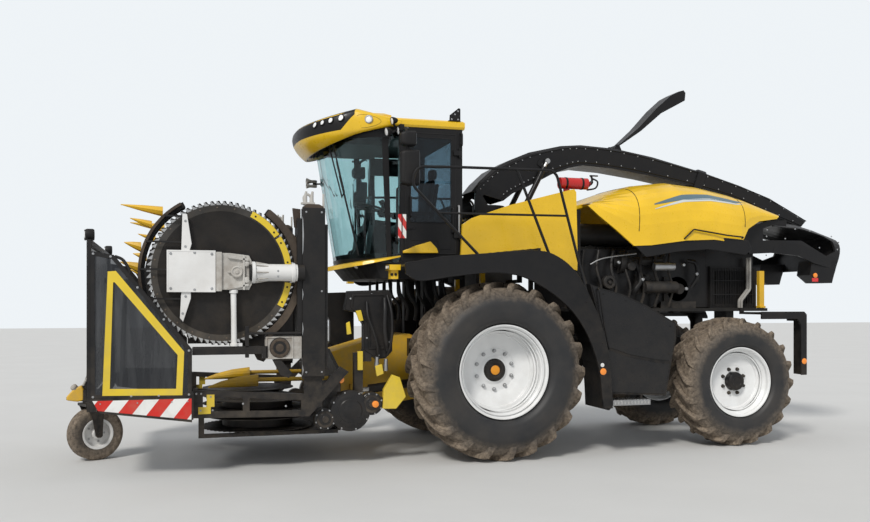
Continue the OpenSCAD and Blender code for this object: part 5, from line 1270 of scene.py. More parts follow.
add_tube(horn_mount, [base, base + out * 90, base + out * 130 + Vector((0, -40, 0))], 12, 10)
for lift, size in ((30, 42), (-30, 34)):
    spot = base + out * 120 + Vector((0, -30, lift))
    add_turned(horns, [(18, 40), (22, 20), (20, -30), (size * 0.6, -54), (size, -92), (size, -98),
                       (size * 0.8, -96), (16, -60)], spot, (1, 0.12, 0), 24)
make(horn_mount, "front_horn_mount", panel_black, "chassis", "paint_black")
make(horns, "front_horns", cast_grey, "chassis", "paint_black")

# %% Mirrors and the work lamps beside them
shells, mirrors, arms = Shape(), Shape(), Shape()


def rounded(x, half_y, half_z, centre_y, centre_z, corner):
    line = []
    for sx, sy, start in ((1, 1, 0), (-1, 1, 90), (-1, -1, 180), (1, -1, 270)):
        for k in range(6):
            turn = math.radians(start + 18 * k)
            line.append((x, centre_y + sx * (half_y - corner) + corner * math.cos(turn),
                         centre_z + sy * (half_z - corner) + corner * math.sin(turn)))
    return line


for half_z, centre_z, depth in ((200, 3387, 214), (84, 3718, 176)):
    loops = []
    for share, shrink in ((0, 46), (0.06, 22), (0.2, 8), (0.45, 1), (0.8, 0), (0.97, 0), (1.0, 6)):
        x = -1216 + depth * share
        loops.append(rounded(x, 75 - shrink * 0.8, half_z - shrink, -1410, centre_z, 34 - shrink * 0.3))
    add_rings(shells, loops)
    x = -1216 + depth
    add_rings(mirrors, [rounded(x - 2, 64, half_z - 12, -1410, centre_z, 26),
                        rounded(x + 2.5, 63, half_z - 13, -1410, centre_z, 26)])
add_tube(arms, [(-1112, -1388, 3170), (-1112, -1388, 3830)], 11, 10)
for z in (3200, 3590, 3640, 3810):
    add_block(arms, (-1128, -1420, z), (-1094, -1376, z + 26))
add_tube(arms, flowing([(-1112, -1388, 3830), (-1104, -1300, 3862), (-1080, -1100, 3872),
                        (-1062, -900, 3892)]), 13, 10)

chassis_pair(shells, "mirror_shells", moulded_black, "black_plastic", bevel=2)
chassis_pair(mirrors, "mirror_faces", mirror_face, "clear_glass")
chassis_pair(arms, "mirror_arms", panel_black)
work, work_glass = Shape(), Shape()
for x, y, z, size in ((-1262, -985, 3868, 48), (-1200, -1010, 3996, 40), (-1120, -985, 3892, 44)):
    way = Vector((-0.96, -0.16, -0.2)).normalized()
    spot = Vector((x, y, z))
    add_turned(work, [(0, -58), (size * 0.5, -56), (size * 0.85, -34), (size + 6, 0), (size + 6, 16),
                      (size, 18), (size, 8)], spot, way, 28)
    add_turned(work_glass, [(size, 6), (size, 12), (size * 0.6, 16), (0, 17)], spot, way, 28)
    add_tube(work, [spot + Vector((10, 10, -size)), spot + Vector((30, 30, -size - 26))], 10, 8)
add_tube(work, bent([(-1060, -900, 3930), (-1100, -965, 3930), (-1262, -965, 3820)], 30), 14, 10)
add_tube(work, [(-1140, -968, 3905), (-1190, -985, 3970)], 12, 10)
add_block(work, (-1300, -1000, 3800), (-1230, -955, 3822))
chassis_pair(work, "work_lamp_housings", moulded_black, "black_plastic", bevel=1.5)
chassis_pair(work_glass, "work_lamp_lenses", lamp_white, "clear_glass")

# %% Door seals and handles, grab bars and the striped plate
trim, handles, door_shade_plate = Shape(), Shape(), Shape()
DOOR_OUT = -886.5
add_border(trim, [(-964, 2814), (-436, 2814), (-436, 3846), (-964, 3846)],
           [(-948, 2830), (-452, 2830), (-452, 3830), (-948, 3830)], "y", DOOR_OUT - 5, DOOR_OUT + 3)
add_border(trim, [(-1020, 2440), (-380, 2440), (-380, 3900), (-1020, 3900)],
           [(-1008, 2452), (-392, 2452), (-392, 3888), (-1008, 3888)], "y", DOOR_OUT - 3, DOOR_OUT + 3)
make(trim, "door_seals", hose_rubber, "door", "black_plastic", bevel=1.5)
# A black plate over the door's lower glass is painted shade: the dark cab seen through the glass.
add_prism(door_shade_plate, [(-950, 2600), (-620, 2600), (-590, 2500), (-448, 2500), (-448, 2806), (-950, 2806)],
          "y", DOOR_OUT - 2.5, DOOR_OUT + 2)
make(door_shade_plate, "door_lower_painted_shade", panel_black, "door", "paint_black", bevel=3)
add_tube(handles, bent([(-960, DOOR_OUT, 2880), (-960, DOOR_OUT - 46, 2880), (-960, DOOR_OUT - 46, 3120),
                        (-960, DOOR_OUT, 3120)], 24), 11, 10)
add_block(handles, (-1000, DOOR_OUT - 16, 2740), (-900, DOOR_OUT, 2786))
add_tube(handles, bent([(-430, DOOR_OUT, 2700), (-430, DOOR_OUT - 40, 2700), (-430, DOOR_OUT - 40, 3000),
                        (-430, DOOR_OUT, 3000)], 20), 9, 8)
make(handles, "door_handles", panel_black, "door", "paint_black")
grabs, bright_bar = Shape(), Shape()
add_tube(grabs, bent([(-318, -884, 3906), (-318, -930, 3906), (-318, -930, 3762),
                      (-318, -884, 3762)], 26), 11, 10)
add_tube(grabs, bent([(-1110, -884, 2560), (-1134, -936, 2580), (-1134, -936, 3200),
                      (-1110, -884, 3220)], 40), 12, 10)
add_tube(bright_bar, bent([(-352, -882, 3030), (-352, -914, 3030), (-352, -914, 2690),
                           (-352, -882, 2690)], 16), 12, 10)
chassis_pair(grabs, "cab_grab_bars", panel_black)
chassis_pair(bright_bar, "cab_bright_bars", galvanised, "bare_steel")
plate = Shape()
add_prism(plate, [(-1190, 2600), (-1094, 2600), (-1094, 2878), (-1190, 2878)], "y", -1223, -1219)
make(plate, "cab_striped_plate", red_white_small, "chassis", "paint_red", bevel=1)
holder = Shape()
add_tube(holder, [(-1144, -1216, 2330), (-1144, -1216, 2880)], 10, 10)
add_block(holder, (-1180, -1219, 2640), (-1104, -1211, 2664))
add_block(holder, (-1180, -1219, 2810), (-1104, -1211, 2834))
add_prism(holder, [(-1190, 2326), (-1095, 2336), (-1095, 2350), (-1190, 2342)], "y", -1250, -1180)
make(holder, "cab_plate_holder", panel_black, "chassis", "paint_black", bevel=2)

# %% The padded seat
SEAT_X = -720.0


def cushion(name, rings):
    piece = make(add_rings(Shape(), rings), name, seat_cloth, "chassis", "seat_fabric", bevel=16,
                 segments=3, sharp=60)


def cushion_ring(cx, half_x, half_y, z, corner=60, steps=7):
    line = []
    for sx, sy, start in ((1, 1, 0), (-1, 1, 90), (-1, -1, 180), (1, -1, 270)):
        for k in range(steps):
            turn = math.radians(start + 90 * k / (steps - 1))
            line.append((cx + sx * (half_x - corner) + corner * math.cos(turn),
                         sy * (half_y - corner) + corner * math.sin(turn), z))
    return line


base_rings = []
for t, grow in ((0, -26), (0.12, -6), (0.35, 0), (0.62, 0), (0.84, -10), (0.95, -34), (1.0, -74)):
    base_rings.append(cushion_ring(SEAT_X - 10, 252 + grow, 236 + grow, 2731 + 128 * t))
cushion("seat_cushion", base_rings)
back_rings = []
for k in range(13):
    t = k / 12
    z = 2865 + 585 * t
    lean = 150 + 120 * t
    width = 232 - 26 * t - 60 * max(0, t - 0.8) / 0.2 * 0.5
    deep = (44 + 16 * math.sin(math.pi * min(1, t * 1.1))) * (1 if 0 < k < 12 else 0.55)
    ring = []
    for j in range(28):
        a = 2 * math.pi * j / 28
        wing = 22 * (math.sin(a) ** 2) * (1 if abs(math.sin(a)) > 0.5 else 0)
        ring.append((SEAT_X + lean + deep * math.cos(a) - wing * 0.5,
                     width * math.copysign(abs(math.sin(a)) ** 0.7, math.sin(a)), z))
    back_rings.append(ring)
cushion("seat_backrest", back_rings)
head_rings = []
for t, grow in ((0, -30), (0.2, -6), (0.5, 0), (0.8, -8), (1.0, -36)):
    head_rings.append([(SEAT_X + 292 + (52 + grow * 0.4) * math.cos(2 * math.pi * j / 20),
                        (132 + grow) * math.sin(2 * math.pi * j / 20), 3456 + 130 * t) for j in range(20)])
cushion("seat_headrest", head_rings)
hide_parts("seat")

# %% Seat stand, console, screens and blind
stand = Shape()
add_turned(stand, [(150, 0), (150, 26), (118, 40), (108, 90), (122, 120), (108, 150), (122, 180),
                   (110, 210), (120, 286)], (SEAT_X, 0, 2441), (0, 0, 1), 32)
add_block(stand, (SEAT_X - 210, -190, 2712), (SEAT_X + 210, 190, 2738))
add_prism(stand, [(SEAT_X + 150, 2735), (SEAT_X + 235, 2735), (SEAT_X + 330, 3380), (SEAT_X + 300, 3385)],
          "y", -190, 190)
for side in (-1, 1):
    y0, y1 = sorted((side * 250, side * 312))
    add_block(stand, (SEAT_X - 180, y0, 2960), (SEAT_X + 180, y1, 3010))
    add_block(stand, (SEAT_X + 100, y0, 2790), (SEAT_X + 150, y1, 2965))
    add_tube(stand, [(SEAT_X + 298, side * 60, 3370), (SEAT_X + 300, side * 60, 3480)], 9, 8)
make(stand, "seat_stand", moulded_black, "chassis", "black_plastic", bevel=9)
inside = Shape()
add_block(inside, (SEAT_X - 60, 316, 2900), (SEAT_X + 190, 360, 2990))
add_prism(inside, [(-1040, 2990), (-560, 2990), (-560, 3046), (-960, 3046), (-1060, 3084), (-1080, 3040)],
          "y", 262, 402)
add_tube(inside, bent([(-1010, 330, 3050), (-1010, 330, 3150), (-1040, 330, 3210)], 20),
         [22, 22, 26, 26, 26, 26, 34, 34], 12)
add_block(inside, (-1150, 420, 3060), (-1120, 700, 3280))
add_block(inside, (-1120, 560, 2900), (-1090, 590, 3070))
add_block(inside, (-1330, 470, 3330), (-1306, 740, 3520))
add_tube(inside, [(-1320, 700, 2430), (-1320, 700, 3400)], 16, 10)
add_prism(inside, [(-1180, 2442), (-560, 2442), (-500, 2900), (-1100, 2960)], "y", 420, 800)
add_prism(inside, [(-1500, 2345), (-1380, 2345), (-1330, 2700), (-1380, 2760), (-1440, 2720)],
          "y", -110, 110)
add_block(inside, (-1380, -200, 2700), (-1345, 200, 2830))
for y in (-150, 60, 200):
    add_prism(inside, [(-1560, 2350), (-1510, 2350), (-1460, 2520), (-1480, 2530)], "y", y, y + 80)
add_block(inside, (-372, -790, 2446), (-342, 790, 3060))
add_block(inside, (-1180, -800, 2441), (-372, 800, 2452))
add_patch(inside, lambda u, v, out: on_glass(14 + 152 * u, 2342 + 100 * v, -14 + out), 24, 1, (-2, 2))
add_block(inside, (-1700, -560, 3780), (-1120, 560, 3940))
add_block(inside, (-1120, -800, 3850), (-360, 800, 3945))
make(inside, "cab_interior", moulded_black, "chassis", "black_plastic", bevel=8)
bright_inside = Shape()
add_block(bright_inside, (-1156, 440, 3080), (-1151, 680, 3262))
add_block(bright_inside, (-1334, 486, 3345), (-1331, 724, 3505))
make(bright_inside, "cab_screens", mirror_face, "chassis", "clear_glass", bevel=1)
shade = Shape()
add_prism(shade, [(-1090, 3600), (-420, 3600), (-420, 3840), (-1090, 3840)], "y", 790, 800)
make(shade, "cab_blind", seat_cloth, "chassis", "seat_fabric")

# %% Lamps at the platforms' front corners and the sill's marker
corner_lamps, corner_glass = Shape(), Shape()
add_border(corner_lamps, [(-1394, 2232), (-1212, 2232), (-1212, 2282), (-1394, 2282)],
           [(-1376, 2240), (-1230, 2240), (-1230, 2274), (-1376, 2274)], "x", -1341, -1333)
for y in (-1352, -1252):
    add_turned(corner_glass, [(20, -2), (20, 6), (12, 9), (0, 10)], (-1336, y, 2257), (-1, 0, 0), 20)
for x in (-1300, -1255):
    add_turned(corner_lamps, [(17, 0), (17, 8), (0, 9)], (x, -1361, 2175), LEFT, 20)
chassis_pair(corner_lamps, "platform_lamp_frames", moulded_black, "black_plastic", bevel=1)
chassis_pair(corner_glass, "platform_lamp_lenses", lamp_white, "clear_glass")
sill_lamp = Shape()
spot = Vector((-1560, -640, 2300))
add_turned(sill_lamp, [(34, -20), (34, 8), (26, 14), (0, 16)], spot, (-0.5, -0.85, -0.1), 24)
add_turned(sill_lamp, [(26, -20), (26, 8), (20, 14), (0, 16)], spot + Vector((70, -52, 6)),
           (-0.5, -0.85, -0.1), 24)
chassis_pair(sill_lamp, "sill_lamps", lamp_white, "clear_glass")

# %% [markdown]
# ## Body panels
# Covers lie a few millimetres over the solid where one part carries two finishes: the black sill
# of the hood, the yellow fairing under the door and the bright step on the side tank. The skin of
# the mudguard smooths the drawing's corners into one curve.

# %% Two-tone covers
def grown(outline, by):
    """Moves each corner of an outline outward from both of its edges."""
    count = len(outline)
    line = [Vector(p) for p in outline]
    area = sum(a.x * b.y - b.x * a.y for a, b in zip(line, line[1:] + line[:1]))
    way = 1 if area > 0 else -1
    moved = []
    for i, here in enumerate(line):
        a = (here - line[i - 1]).normalized()
        b = (line[(i + 1) % count] - here).normalized()
        normal = Vector((a.y, -a.x)) * way
        out = (normal + Vector((b.y, -b.x)) * way).normalized()
        moved.append(tuple(here + out * by / max(0.4, out.dot(normal))))
    return moved


HOOD_SILL = [(1950, 2600), (2123, 2440), (2224, 2454), (2587, 2517), (3047, 2554), (3600, 2490),
             (3700, 2560), (3640, 2680), (3123, 2720), (2700, 2700), (2195, 2630)]
sill = Shape()
add_prism(sill, grown(HOOD_SILL, 2), "y", -1026, -1005)
chassis_pair(sill, "hood_sill", panel_black, bevel=6)
fairing = Shape()
add_prism(fairing, grown([(-1056, 2446), (-1054, 2470), (-886, 2540), (-717, 2588), (-640, 2510),
                          (-618, 2452)], 2), "y", -932, -843)
make(fairing, "door_fairing", panel_yellow, "door", "paint_yellow", bevel=7)
step, tread = Shape(), Shape()
add_block(step, (1408, -1502, 608), (1917, -1248, 672))
for k in range(11):
    add_block(tread, (1424 + 45 * k, -1494, 670), (1450 + 45 * k, -1262, 677))
    add_block(tread, (1424 + 45 * k, -1505, 622), (1450 + 45 * k, -1500, 658))
chassis_pair(step, "tank_step", galvanised, "bare_steel", bevel=4)
chassis_pair(tread, "tank_step_tread", bright_steel, "bare_steel", bevel=2)

# %% Panels and seams of the side tank
tank, tank_bolts = Shape(), Shape()
add_prism(tank, [(1190, 2056), (1310, 2008), (1588, 1938), (1908, 1804), (2314, 1588), (2318, 1410),
                 (2272, 1200), (2250, 1128), (2050, 1151), (1700, 1216), (1374, 1322), (1312, 1640)],
          "y", -1387, -1376)
add_prism(tank, [(1374, 1290), (1700, 1180), (2050, 1113), (2240, 1090), (2180, 720), (1424, 760)],
          "y", -1387, -1376)
chassis_pair(tank, "tank_panels", gloss_black, "black_plastic", bevel=7, segments=3)
add_bolts(tank_bolts, ((1340, 1960), (1640, 1880), (2260, 1560), (2240, 1220), (1400, 1380), (2150, 760),
                       (1450, 790)), -1387, 8)
chassis_pair(tank_bolts, "tank_bolts", moulded_black)
tank_rail = Shape()
add_tube(tank_rail, bent([(1262, -1385, 2020), (1262, -1432, 2010), (1330, -1432, 1560),
                          (1390, -1432, 1300), (1390, -1385, 1290)], 30), 11, 10)
chassis_pair(tank_rail, "tank_rail", panel_black)

# %% Smooth skin and rolled edge of the front mudguard
FENDER_TOP = [(-1205, 2287), (-925, 2330), (-784, 2360), (-300, 2400), (312, 2445), (600, 2400),
              (885, 2182), (1133, 1743), (1250, 1400), (1304, 1155), (1330, 850), (1343, 591)]
FENDER_LOW = [(-1200, 2190), (-1031, 2109), (-630, 2161), (-150, 2207), (212, 2160), (577, 1973),
              (859, 1732), (1054, 1433), (1180, 1080), (1225, 726), (1251, 594)]


def even_line(outline, count):
    """A smooth line through the corners, cut in equal lengths."""
    line = flowing([(x, 0, z) for x, z in outline], 10)
    reach = [0.0]
    for a, b in zip(line, line[1:]):
        reach.append(reach[-1] + (b - a).length)
    cut, i = [], 0
    for k in range(count):
        goal = reach[-1] * k / (count - 1)
        while i < len(line) - 2 and reach[i + 1] < goal:
            i += 1
        cut.append(line[i].lerp(line[i + 1], min(1.0, (goal - reach[i]) / (reach[i + 1] - reach[i]))))
    return cut


skirt, lip = Shape(), Shape()
upper, lower = even_line(FENDER_TOP, 72), even_line(FENDER_LOW, 72)
rings = []
for high, low in zip(upper, lower):
    across = (high - low).normalized()
    top, foot = high + across * 3, low - across * 11
    rings.append([(foot.x, -1610, foot.z), (top.x, -1610, top.z), (top.x, -1572, top.z),
                  (foot.x, -1572, foot.z)])
add_rings(skirt, rings)
chassis_pair(skirt, "fender_skirt", panel_black, bevel=3)
add_tube(lip, [(p.x, -1601, p.z + 5) for p in upper], 11, 10)
add_tube(lip, [(p.x, -1603, p.z) for p in lower[4:]], 9, 8)
chassis_pair(lip, "fender_lip", panel_black)
marker, marker_cap, fender_bolts = Shape(), Shape(), Shape()
add_turned(marker, [(40, -4), (40, 3), (32, 7), (0, 8)], (1224, -1610, 1034), LEFT, 28)
add_turned(marker_cap, [(24, -4), (24, 5), (0, 7)], (1212, -1610, 1112), LEFT, 20)
for i in (6, 20, 34, 46, 56, 66):
    spot = upper[i].lerp(lower[i], 0.25)
    add_bolt(fender_bolts, (spot.x, -1610, spot.z), LEFT, 7)
chassis_pair(marker, "fender_reflector", reflector_orange, "clear_glass")
chassis_pair(marker_cap, "fender_cap", white_paint)
chassis_pair(fender_bolts, "fender_bolts", moulded_black)
grip = Shape()
for k in range(14):
    x = -880 + 100 * k
    z = 2340 + (x + 925) * 0.085
    add_block(grip, (x, -1540, z), (x + 34, -990, z + 14 + 0.02 * (x + 880)))
chassis_pair(grip, "platform_tread", moulded_black, bevel=4)

# %% Hood seams and a plain stripe
# Each station of the hood: top x, top z, low x, low z, half width
HOOD = [(1500, 3155, 1345, 3080, 960), (1640, 3215, 1488, 2948, 990), (1830, 3305, 1697, 2789, 1010),
        (2060, 3388, 1952, 2578, 1030), (2258, 3440, 2195, 2590, 1040), (2694, 3494, 2700, 2660, 1050),
        (3123, 3456, 3123, 2680, 1040), (3577, 3375, 3562, 2640, 1000), (3800, 3305, 3690, 2840, 960),
        (4040, 3212, 3900, 2950, 900), (4349, 3085, 4240, 3000, 820)]


def on_hood(station, share, out=0.0):
    """station counts the hood's sections; share 0 is the left sill, 0.5 the crown."""
    i = min(int(station), len(HOOD) - 2)
    top_x, top_z, low_x, low_z, half = (a + (b - a) * (station - i) for a, b in zip(HOOD[i], HOOD[i + 1]))
    turn = math.pi * share
    c, s = math.cos(turn), math.sin(turn)
    high = abs(s) ** (2 / 3.2)
    wide = math.copysign(abs(c) ** (2 / 3.2), c)
    x = low_x + (top_x - low_x) * high
    return Vector((x, -(half + out) * wide, low_z + (top_z + out - low_z) * high))


hood_lines = Shape()
for station in (3.2, 7.4):
    add_tube(hood_lines, [on_hood(station, 0.03 + 0.94 * k / 48, -0.5) for k in range(49)], 4.5, 6)
make(hood_lines, "hood_seams", panel_black, "chassis", "paint_black")
swoop, swoop_edge = Shape(), Shape()


def ribbon(shape, start, end, low, high, out, width):
    """A band along the hood whose middle runs from share low to high."""
    def place(u, v, lift):
        station = start + (end - start) * u
        share = low + (high - low) * math.sin(math.pi * 0.5 * u)
        return on_hood(station, share + width * math.sin(math.pi * min(1, u + 0.05)) * (v - 0.5), lift)
    return add_patch(shape, place, 40, 3, (-2, out))


for way in (0, 1):
    def flip(p, side=way):
        return (p[0], -p[1], p[2]) if side else tuple(p)
    for shape, values in ((swoop, (4.1, 7.9, 0.155, 0.235, 2.2, 0.05)),
                          (swoop_edge, (4.1, 7.9, 0.125, 0.21, 2.0, 0.022))):
        band = ribbon(Shape(), *values)
        shape.copy_of(band, flip)
make(swoop, "hood_stripe", stripe_blue, "chassis", "paint_black", sharp=60)
make(swoop_edge, "hood_stripe_edge", stripe_pale, "chassis", "bare_steel", sharp=60)

# %% What shows in the engine bay
bay, bay_shade_walls, bay_bright, belts = Shape(), Shape(), Shape(), Shape()
# Two black walls behind the engine parts close the bay from the sky: painted shade, where the engine bay is
# dark.
add_block(bay_shade_walls, (1240, -560, 1790), (3300, -540, 2560))
add_block(bay_shade_walls, (3300, -560, 1790), (4050, -540, 2690))
for k in range(7):
    x = 1420 + 210 * k
    add_tube(bay, flowing([(x, -640, 1800), (x + 30, -690, 2050), (x - 20, -660, 2300),
                           (x + 40, -600, 2540)]), 16 + 3 * (k % 3), 10)
add_turned(bay, [(90, -20), (90, 40), (80, 52), (50, 56), (46, 30), (20, 30), (20, 60), (0, 60)],
           (1760, -690, 2120), LEFT, 32)
add_turned(bay, [(60, -20), (60, 40), (50, 48), (0, 50)], (2080, -700, 2330), LEFT, 28)
add_turned(bay, [(74, -240), (80, -220), (80, 220), (74, 240), (30, 246)], (2520, -700, 2060),
           (1, 0, 0), 28)
add_turned(bay_bright, [(50, -150), (54, -140), (54, 140), (50, 150)], (2560, -720, 2330), (1, 0, 0), 24)
for x, z in ((1600, 1980), (1900, 2380), (2250, 2160), (2860, 2360), (2900, 2040), (3060, 2240)):
    add_turned(bay_bright, [(22, -8), (22, 22), (16, 26), (0, 27)], (x, -705, z), LEFT, 16)
add_tube(bay_bright, flowing([(1500, -700, 2350), (1640, -720, 2420), (1850, -720, 2460),
                              (2160, -710, 2500)]), 9, 8)
add_tube(belts, flowing([(2140, -660, 1950), (2160, -700, 2040), (2230, -690, 2130), (2240, -640, 2260),
                         (2180, -620, 2400)]), 34, 14)
add_tube(belts, flowing([(2960, -640, 2420), (3060, -690, 2380), (3080, -700, 2200),
                         (3020, -650, 2060)]), 28, 12)
# The black walls are painted shade of the engine bay.
chassis_pair(bay_shade_walls, "bay_painted_shade_walls", panel_black, bevel=2)
chassis_pair(bay, "bay_parts", engine_paint_and_shade, "engine_iron", bevel=2)
chassis_pair(bay_bright, "bay_fittings", galvanised, "bare_steel", bevel=1)
chassis_pair(belts, "bay_ducts", hose_rubber, "black_plastic")
grille = Shape()
for k in range(26):
    add_block(grille, (3352 + 27 * k, -607, 1800), (3361 + 27 * k, -596, 2330))
for z in (1960, 2150):
    add_block(grille, (3345, -609, z), (4065, -598, z + 12))
chassis_pair(grille, "cooler_grille", moulded_black, "black_plastic", bevel=1)

# %% The drive case and the dark cover over it
lobes, fixing, cover, pins = Shape(), Shape(), Shape(), Shape()
for x, z, r in ((-2050, 546, 118), (-1764, 631, 226), (-1515, 704, 128)):
    front = -1290 + (230 - r) / 12
    add_turned(lobes, [(r, -60), (r, 3), (r - 8, 9), (r * 0.82, 10), (r * 0.78, 16), (r * 0.6, 17),
                       (r * 0.56, 24), (r * 0.34, 25), (r * 0.3, 30), (0, 30)], (x, front, z), LEFT, 44)
    for k in range(8):
        turn = math.pi / 4 * k + 0.3
        add_bolt(fixing, (x + (r - 11) * math.cos(turn), front - 9, z + (r - 11) * math.sin(turn)), LEFT, 7)
header_pair(lobes, "drive_case_covers", gloss_black, bevel=2)
header_pair(fixing, "drive_case_bolts", galvanised, "bare_steel")
add_prism(cover, [(-1808, 1772), (-1766, 1978), (-1310, 1994), (-1270, 1930), (-1264, 1302), (-1336, 1226),
                  (-1436, 1212), (-1583, 1306), (-1583, 1606), (-1653, 1746)], "y", -1210, -1196)
add_border(cover, [(-1750, 1800), (-1730, 1950), (-1330, 1960), (-1310, 1320), (-1540, 1320),
                   (-1550, 1630)],
           [(-1722, 1800), (-1706, 1928), (-1356, 1936), (-1336, 1346), (-1516, 1346), (-1526, 1640)],
           "y", -1222, -1208)
header_pair(cover, "feeder_cover", moulded_black, "black_plastic", bevel=8, segments=3)
add_bolts(pins, ((-1746, 1900), (-1500, 1950), (-1300, 1850), (-1292, 1400), (-1420, 1250), (-1556, 1450)),
          -1210, 8)
header_pair(pins, "feeder_cover_bolts", galvanised, "bare_steel")

# %% Yellow plates, reflectors and hose fittings beside the feeder
strap, eyes, ends = Shape(), Shape(), Shape()
add_prism(strap, [(-1690, 1760), (-1630, 1770), (-1600, 1650), (-1650, 1640)], "y", -1236, -1212)
add_prism(strap, [(-1800, 1620), (-1760, 1640), (-1740, 1500), (-1790, 1490)], "y", -1236, -1206)
add_block(strap, (-1668, -1250, 1085), (-1610, -1205, 1300))
add_prism(strap, [(-1470, 1130), (-1390, 1150), (-1370, 1040), (-1450, 1010)], "y", -1262, -1230)
add_prism(strap, grown([(-1389, 646), (-1234, 641), (-1120, 775), (-1191, 997), (-1276, 1027),
                        (-1375, 864)], 2), "y", -1303, -1237)
header_pair(strap, "feeder_brackets", tape_yellow, "paint_yellow", bevel=4)
for x, z in ((-1881, 988), (-1483, 702)):
    add_turned(eyes, [(38, -30), (38, 4), (30, 9), (0, 10)], (x, -1336, z), LEFT, 28)
header_pair(eyes, "case_reflectors", reflector_orange, "clear_glass")
for x, z in ((-1444, 1126), (-1339, 1100)):
    add_tube(ends, [(x, -1222, z + 40), (x + 4, -1222, z + 108)], 22, 6)
    add_tube(ends, [(x, -1222, z - 30), (x, -1222, z + 42)], 27, 16)
header_pair(ends, "hose_fittings", galvanised, "bare_steel")

# %% Hoses: each is a tube along its own line, with its length measured from that line
def lay_hose(name, points, radius, body, ribbed=False):
    line = flowing(points, 10)
    if ribbed:
        line = [a.lerp(b, t) for a, b in zip(line, line[1:]) for t in (0.0, 0.5)] + [line[-1]]
    radii = [radius * (0.86 if ribbed and k % 2 else 1.0) for k in range(len(line))]
    piece = make(add_tube(Shape(), line, radii, 12), name, hose_rubber, body, "black_plastic", sharp=70)
    path = [((p.x + AXLE_X) / 1000, p.y / 1000, p.z / 1000) for p in line]
    length = sum((Vector(a) - Vector(b)).length for a, b in zip(path, path[1:]))
    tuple(path[0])
    return length


harness = Shape()
for k in range(7):
    y, x = -560 - 30 * k, -1080 + 105 * k
    add_tube(harness, flowing([(x - 60, y, 2135), (x - 40, y - 30, 1960), (x + 60, y, 1800),
                               (x + 70, y + 80, 1640)]), 17 + 4 * (k % 3), 10)
chassis_pair(harness, "cab_harness", hose_rubber, "black_plastic")
hoses = [
    lay_hose("hose_ribbed", [(-1352, -1232, 1900), (-1362, -1290, 1780), (-1372, -1310, 1560),
                             (-1350, -1295, 1400), (-1322, -1232, 1310)], 30, "header", True),
    lay_hose("hose_feeder_a", [(-1440, -1222, 1230), (-1450, -1290, 1350), (-1500, -1305, 1520),
                               (-1560, -1290, 1700), (-1560, -1222, 1860)], 17, "header"),
    lay_hose("hose_feeder_b", [(-1320, -1222, 1250), (-1296, -1290, 1380), (-1282, -1305, 1560),
                               (-1290, -1290, 1760), (-1320, -1222, 1940)], 17, "header"),
]
print("hoses, metres:", [round(v, 2) for v in hoses])

# %% [markdown]
# ## The spout and the tail
# The duct is bolted along both edges and carries a lamp under its end. The tail has its lamps,
# rails and pipes.

# %% Edges, bolts and lamp of the spout
# Each station of the duct: top x, top z, low x, low z, half width
SPOUT = [(40, 3300, 470, 3190, 250), (150, 3438, 600, 3290, 250), (330, 3602, 760, 3365, 245),
         (567, 3730, 920, 3440, 240), (850, 3849, 1150, 3560, 235), (1310, 3958, 1400, 3660, 230),
         (1603, 3984, 1620, 3706, 228), (2110, 3962, 2060, 3682, 225), (2691, 3873, 2620, 3612, 220),
         (3479, 3698, 3400, 3480, 212), (4097, 3531, 4000, 3345, 205), (4614, 3363, 4500, 3160, 200),
         (5229, 3062, 5130, 2965, 190)]
edge, edge_bolts = Shape(), Shape()
for row, drop in ((0, 0.14), (1, 0.86)):
    line = []
    for tx, tz, lx, lz, half in SPOUT:
        line.append((tx + (lx - tx) * drop, -half - 3, tz + (lz - tz) * drop))
    smooth = flowing(line, 8)
    add_tube(edge, smooth, 7, 8)
    for k in range(4, len(smooth) - 2, 3):
        add_bolt(edge_bolts, smooth[k] + Vector((0, -4, -16 if row == 0 else 16)), LEFT, 6)
both_sides(edge, "spout_edges", panel_black, "spout_boom", "paint_black")
both_sides(edge_bolts, "spout_bolts", galvanised, "spout_boom", "bare_steel")
lamp, lamp_lens = Shape(), Shape()
add_turned(lamp, [(20, -46), (40, -40), (46, -10), (46, 10), (40, 12)], (4700, -160, 3060),
           (0.9, -0.1, -0.5), 24)
add_turned(lamp_lens, [(40, 4), (40, 12), (26, 16), (0, 17)], (4700, -160, 3060), (0.9, -0.1, -0.5), 24)
add_block(lamp, (4660, -176, 3070), (4690, -144, 3150))
make(lamp, "spout_lamp", moulded_black, "spout_boom", "black_plastic", bevel=1)
make(lamp_lens, "spout_lamp_lens", lamp_white, "spout_boom", "clear_glass")

# %% Tail bolts, lamps, rails and pipes
tail_bolts, lens, amber, rails, pipes, post = Shape(), Shape(), Shape(), Shape(), Shape(), Shape()
add_bolts(tail_bolts, ((4100, 2760), (4110, 2850), (4560, 2870), (4800, 2850), (5160, 2780), (5280, 2700),
                       (5260, 2600), (4960, 2620), (4400, 2735)), -787, 8)
chassis_pair(tail_bolts, "tail_bolts", galvanised, "bare_steel")
add_turned(lens, [(44, -2), (44, 10), (34, 16), (0, 18)], (5022, -570, 2210), (1, 0, -0.1), 28)
add_block(lens, (4900, -714, 2150), (5000, -709, 2200))
chassis_pair(lens, "tail_lamps", reflector_red, "clear_glass")
add_turned(amber, [(34, -2), (34, 8), (26, 13), (0, 14)], (4950, -713, 2236), LEFT, 24)
chassis_pair(amber, "tail_markers", reflector_orange, "clear_glass")
add_tube(rails, bent([(2667, -1035, 2676), (2667, -1066, 2690), (2791, -1072, 2804), (3292, -1066, 2738),
                      (3547, -1060, 2718), (3547, -1020, 2706)], 40), 10, 10)
chassis_pair(rails, "hood_grab_rails", panel_black)
for y, size in ((-640, 26), (-690, 16)):
    add_tube(pipes, bent([(3908, y, 2472), (3908, y, 2036), (3774, y, 1882), (3774, y, 1785)], 60),
             size, 12)
chassis_pair(pipes, "cooler_pipes", cast_grey, "bare_steel")
add_block(post, (4077, -668, 1782), (4153, -602, 2292))
add_block(post, (4070, -690, 1782), (4160, -590, 1810))
chassis_pair(post, "rear_post_cover", frame_yellow, "paint_yellow", bevel=4)

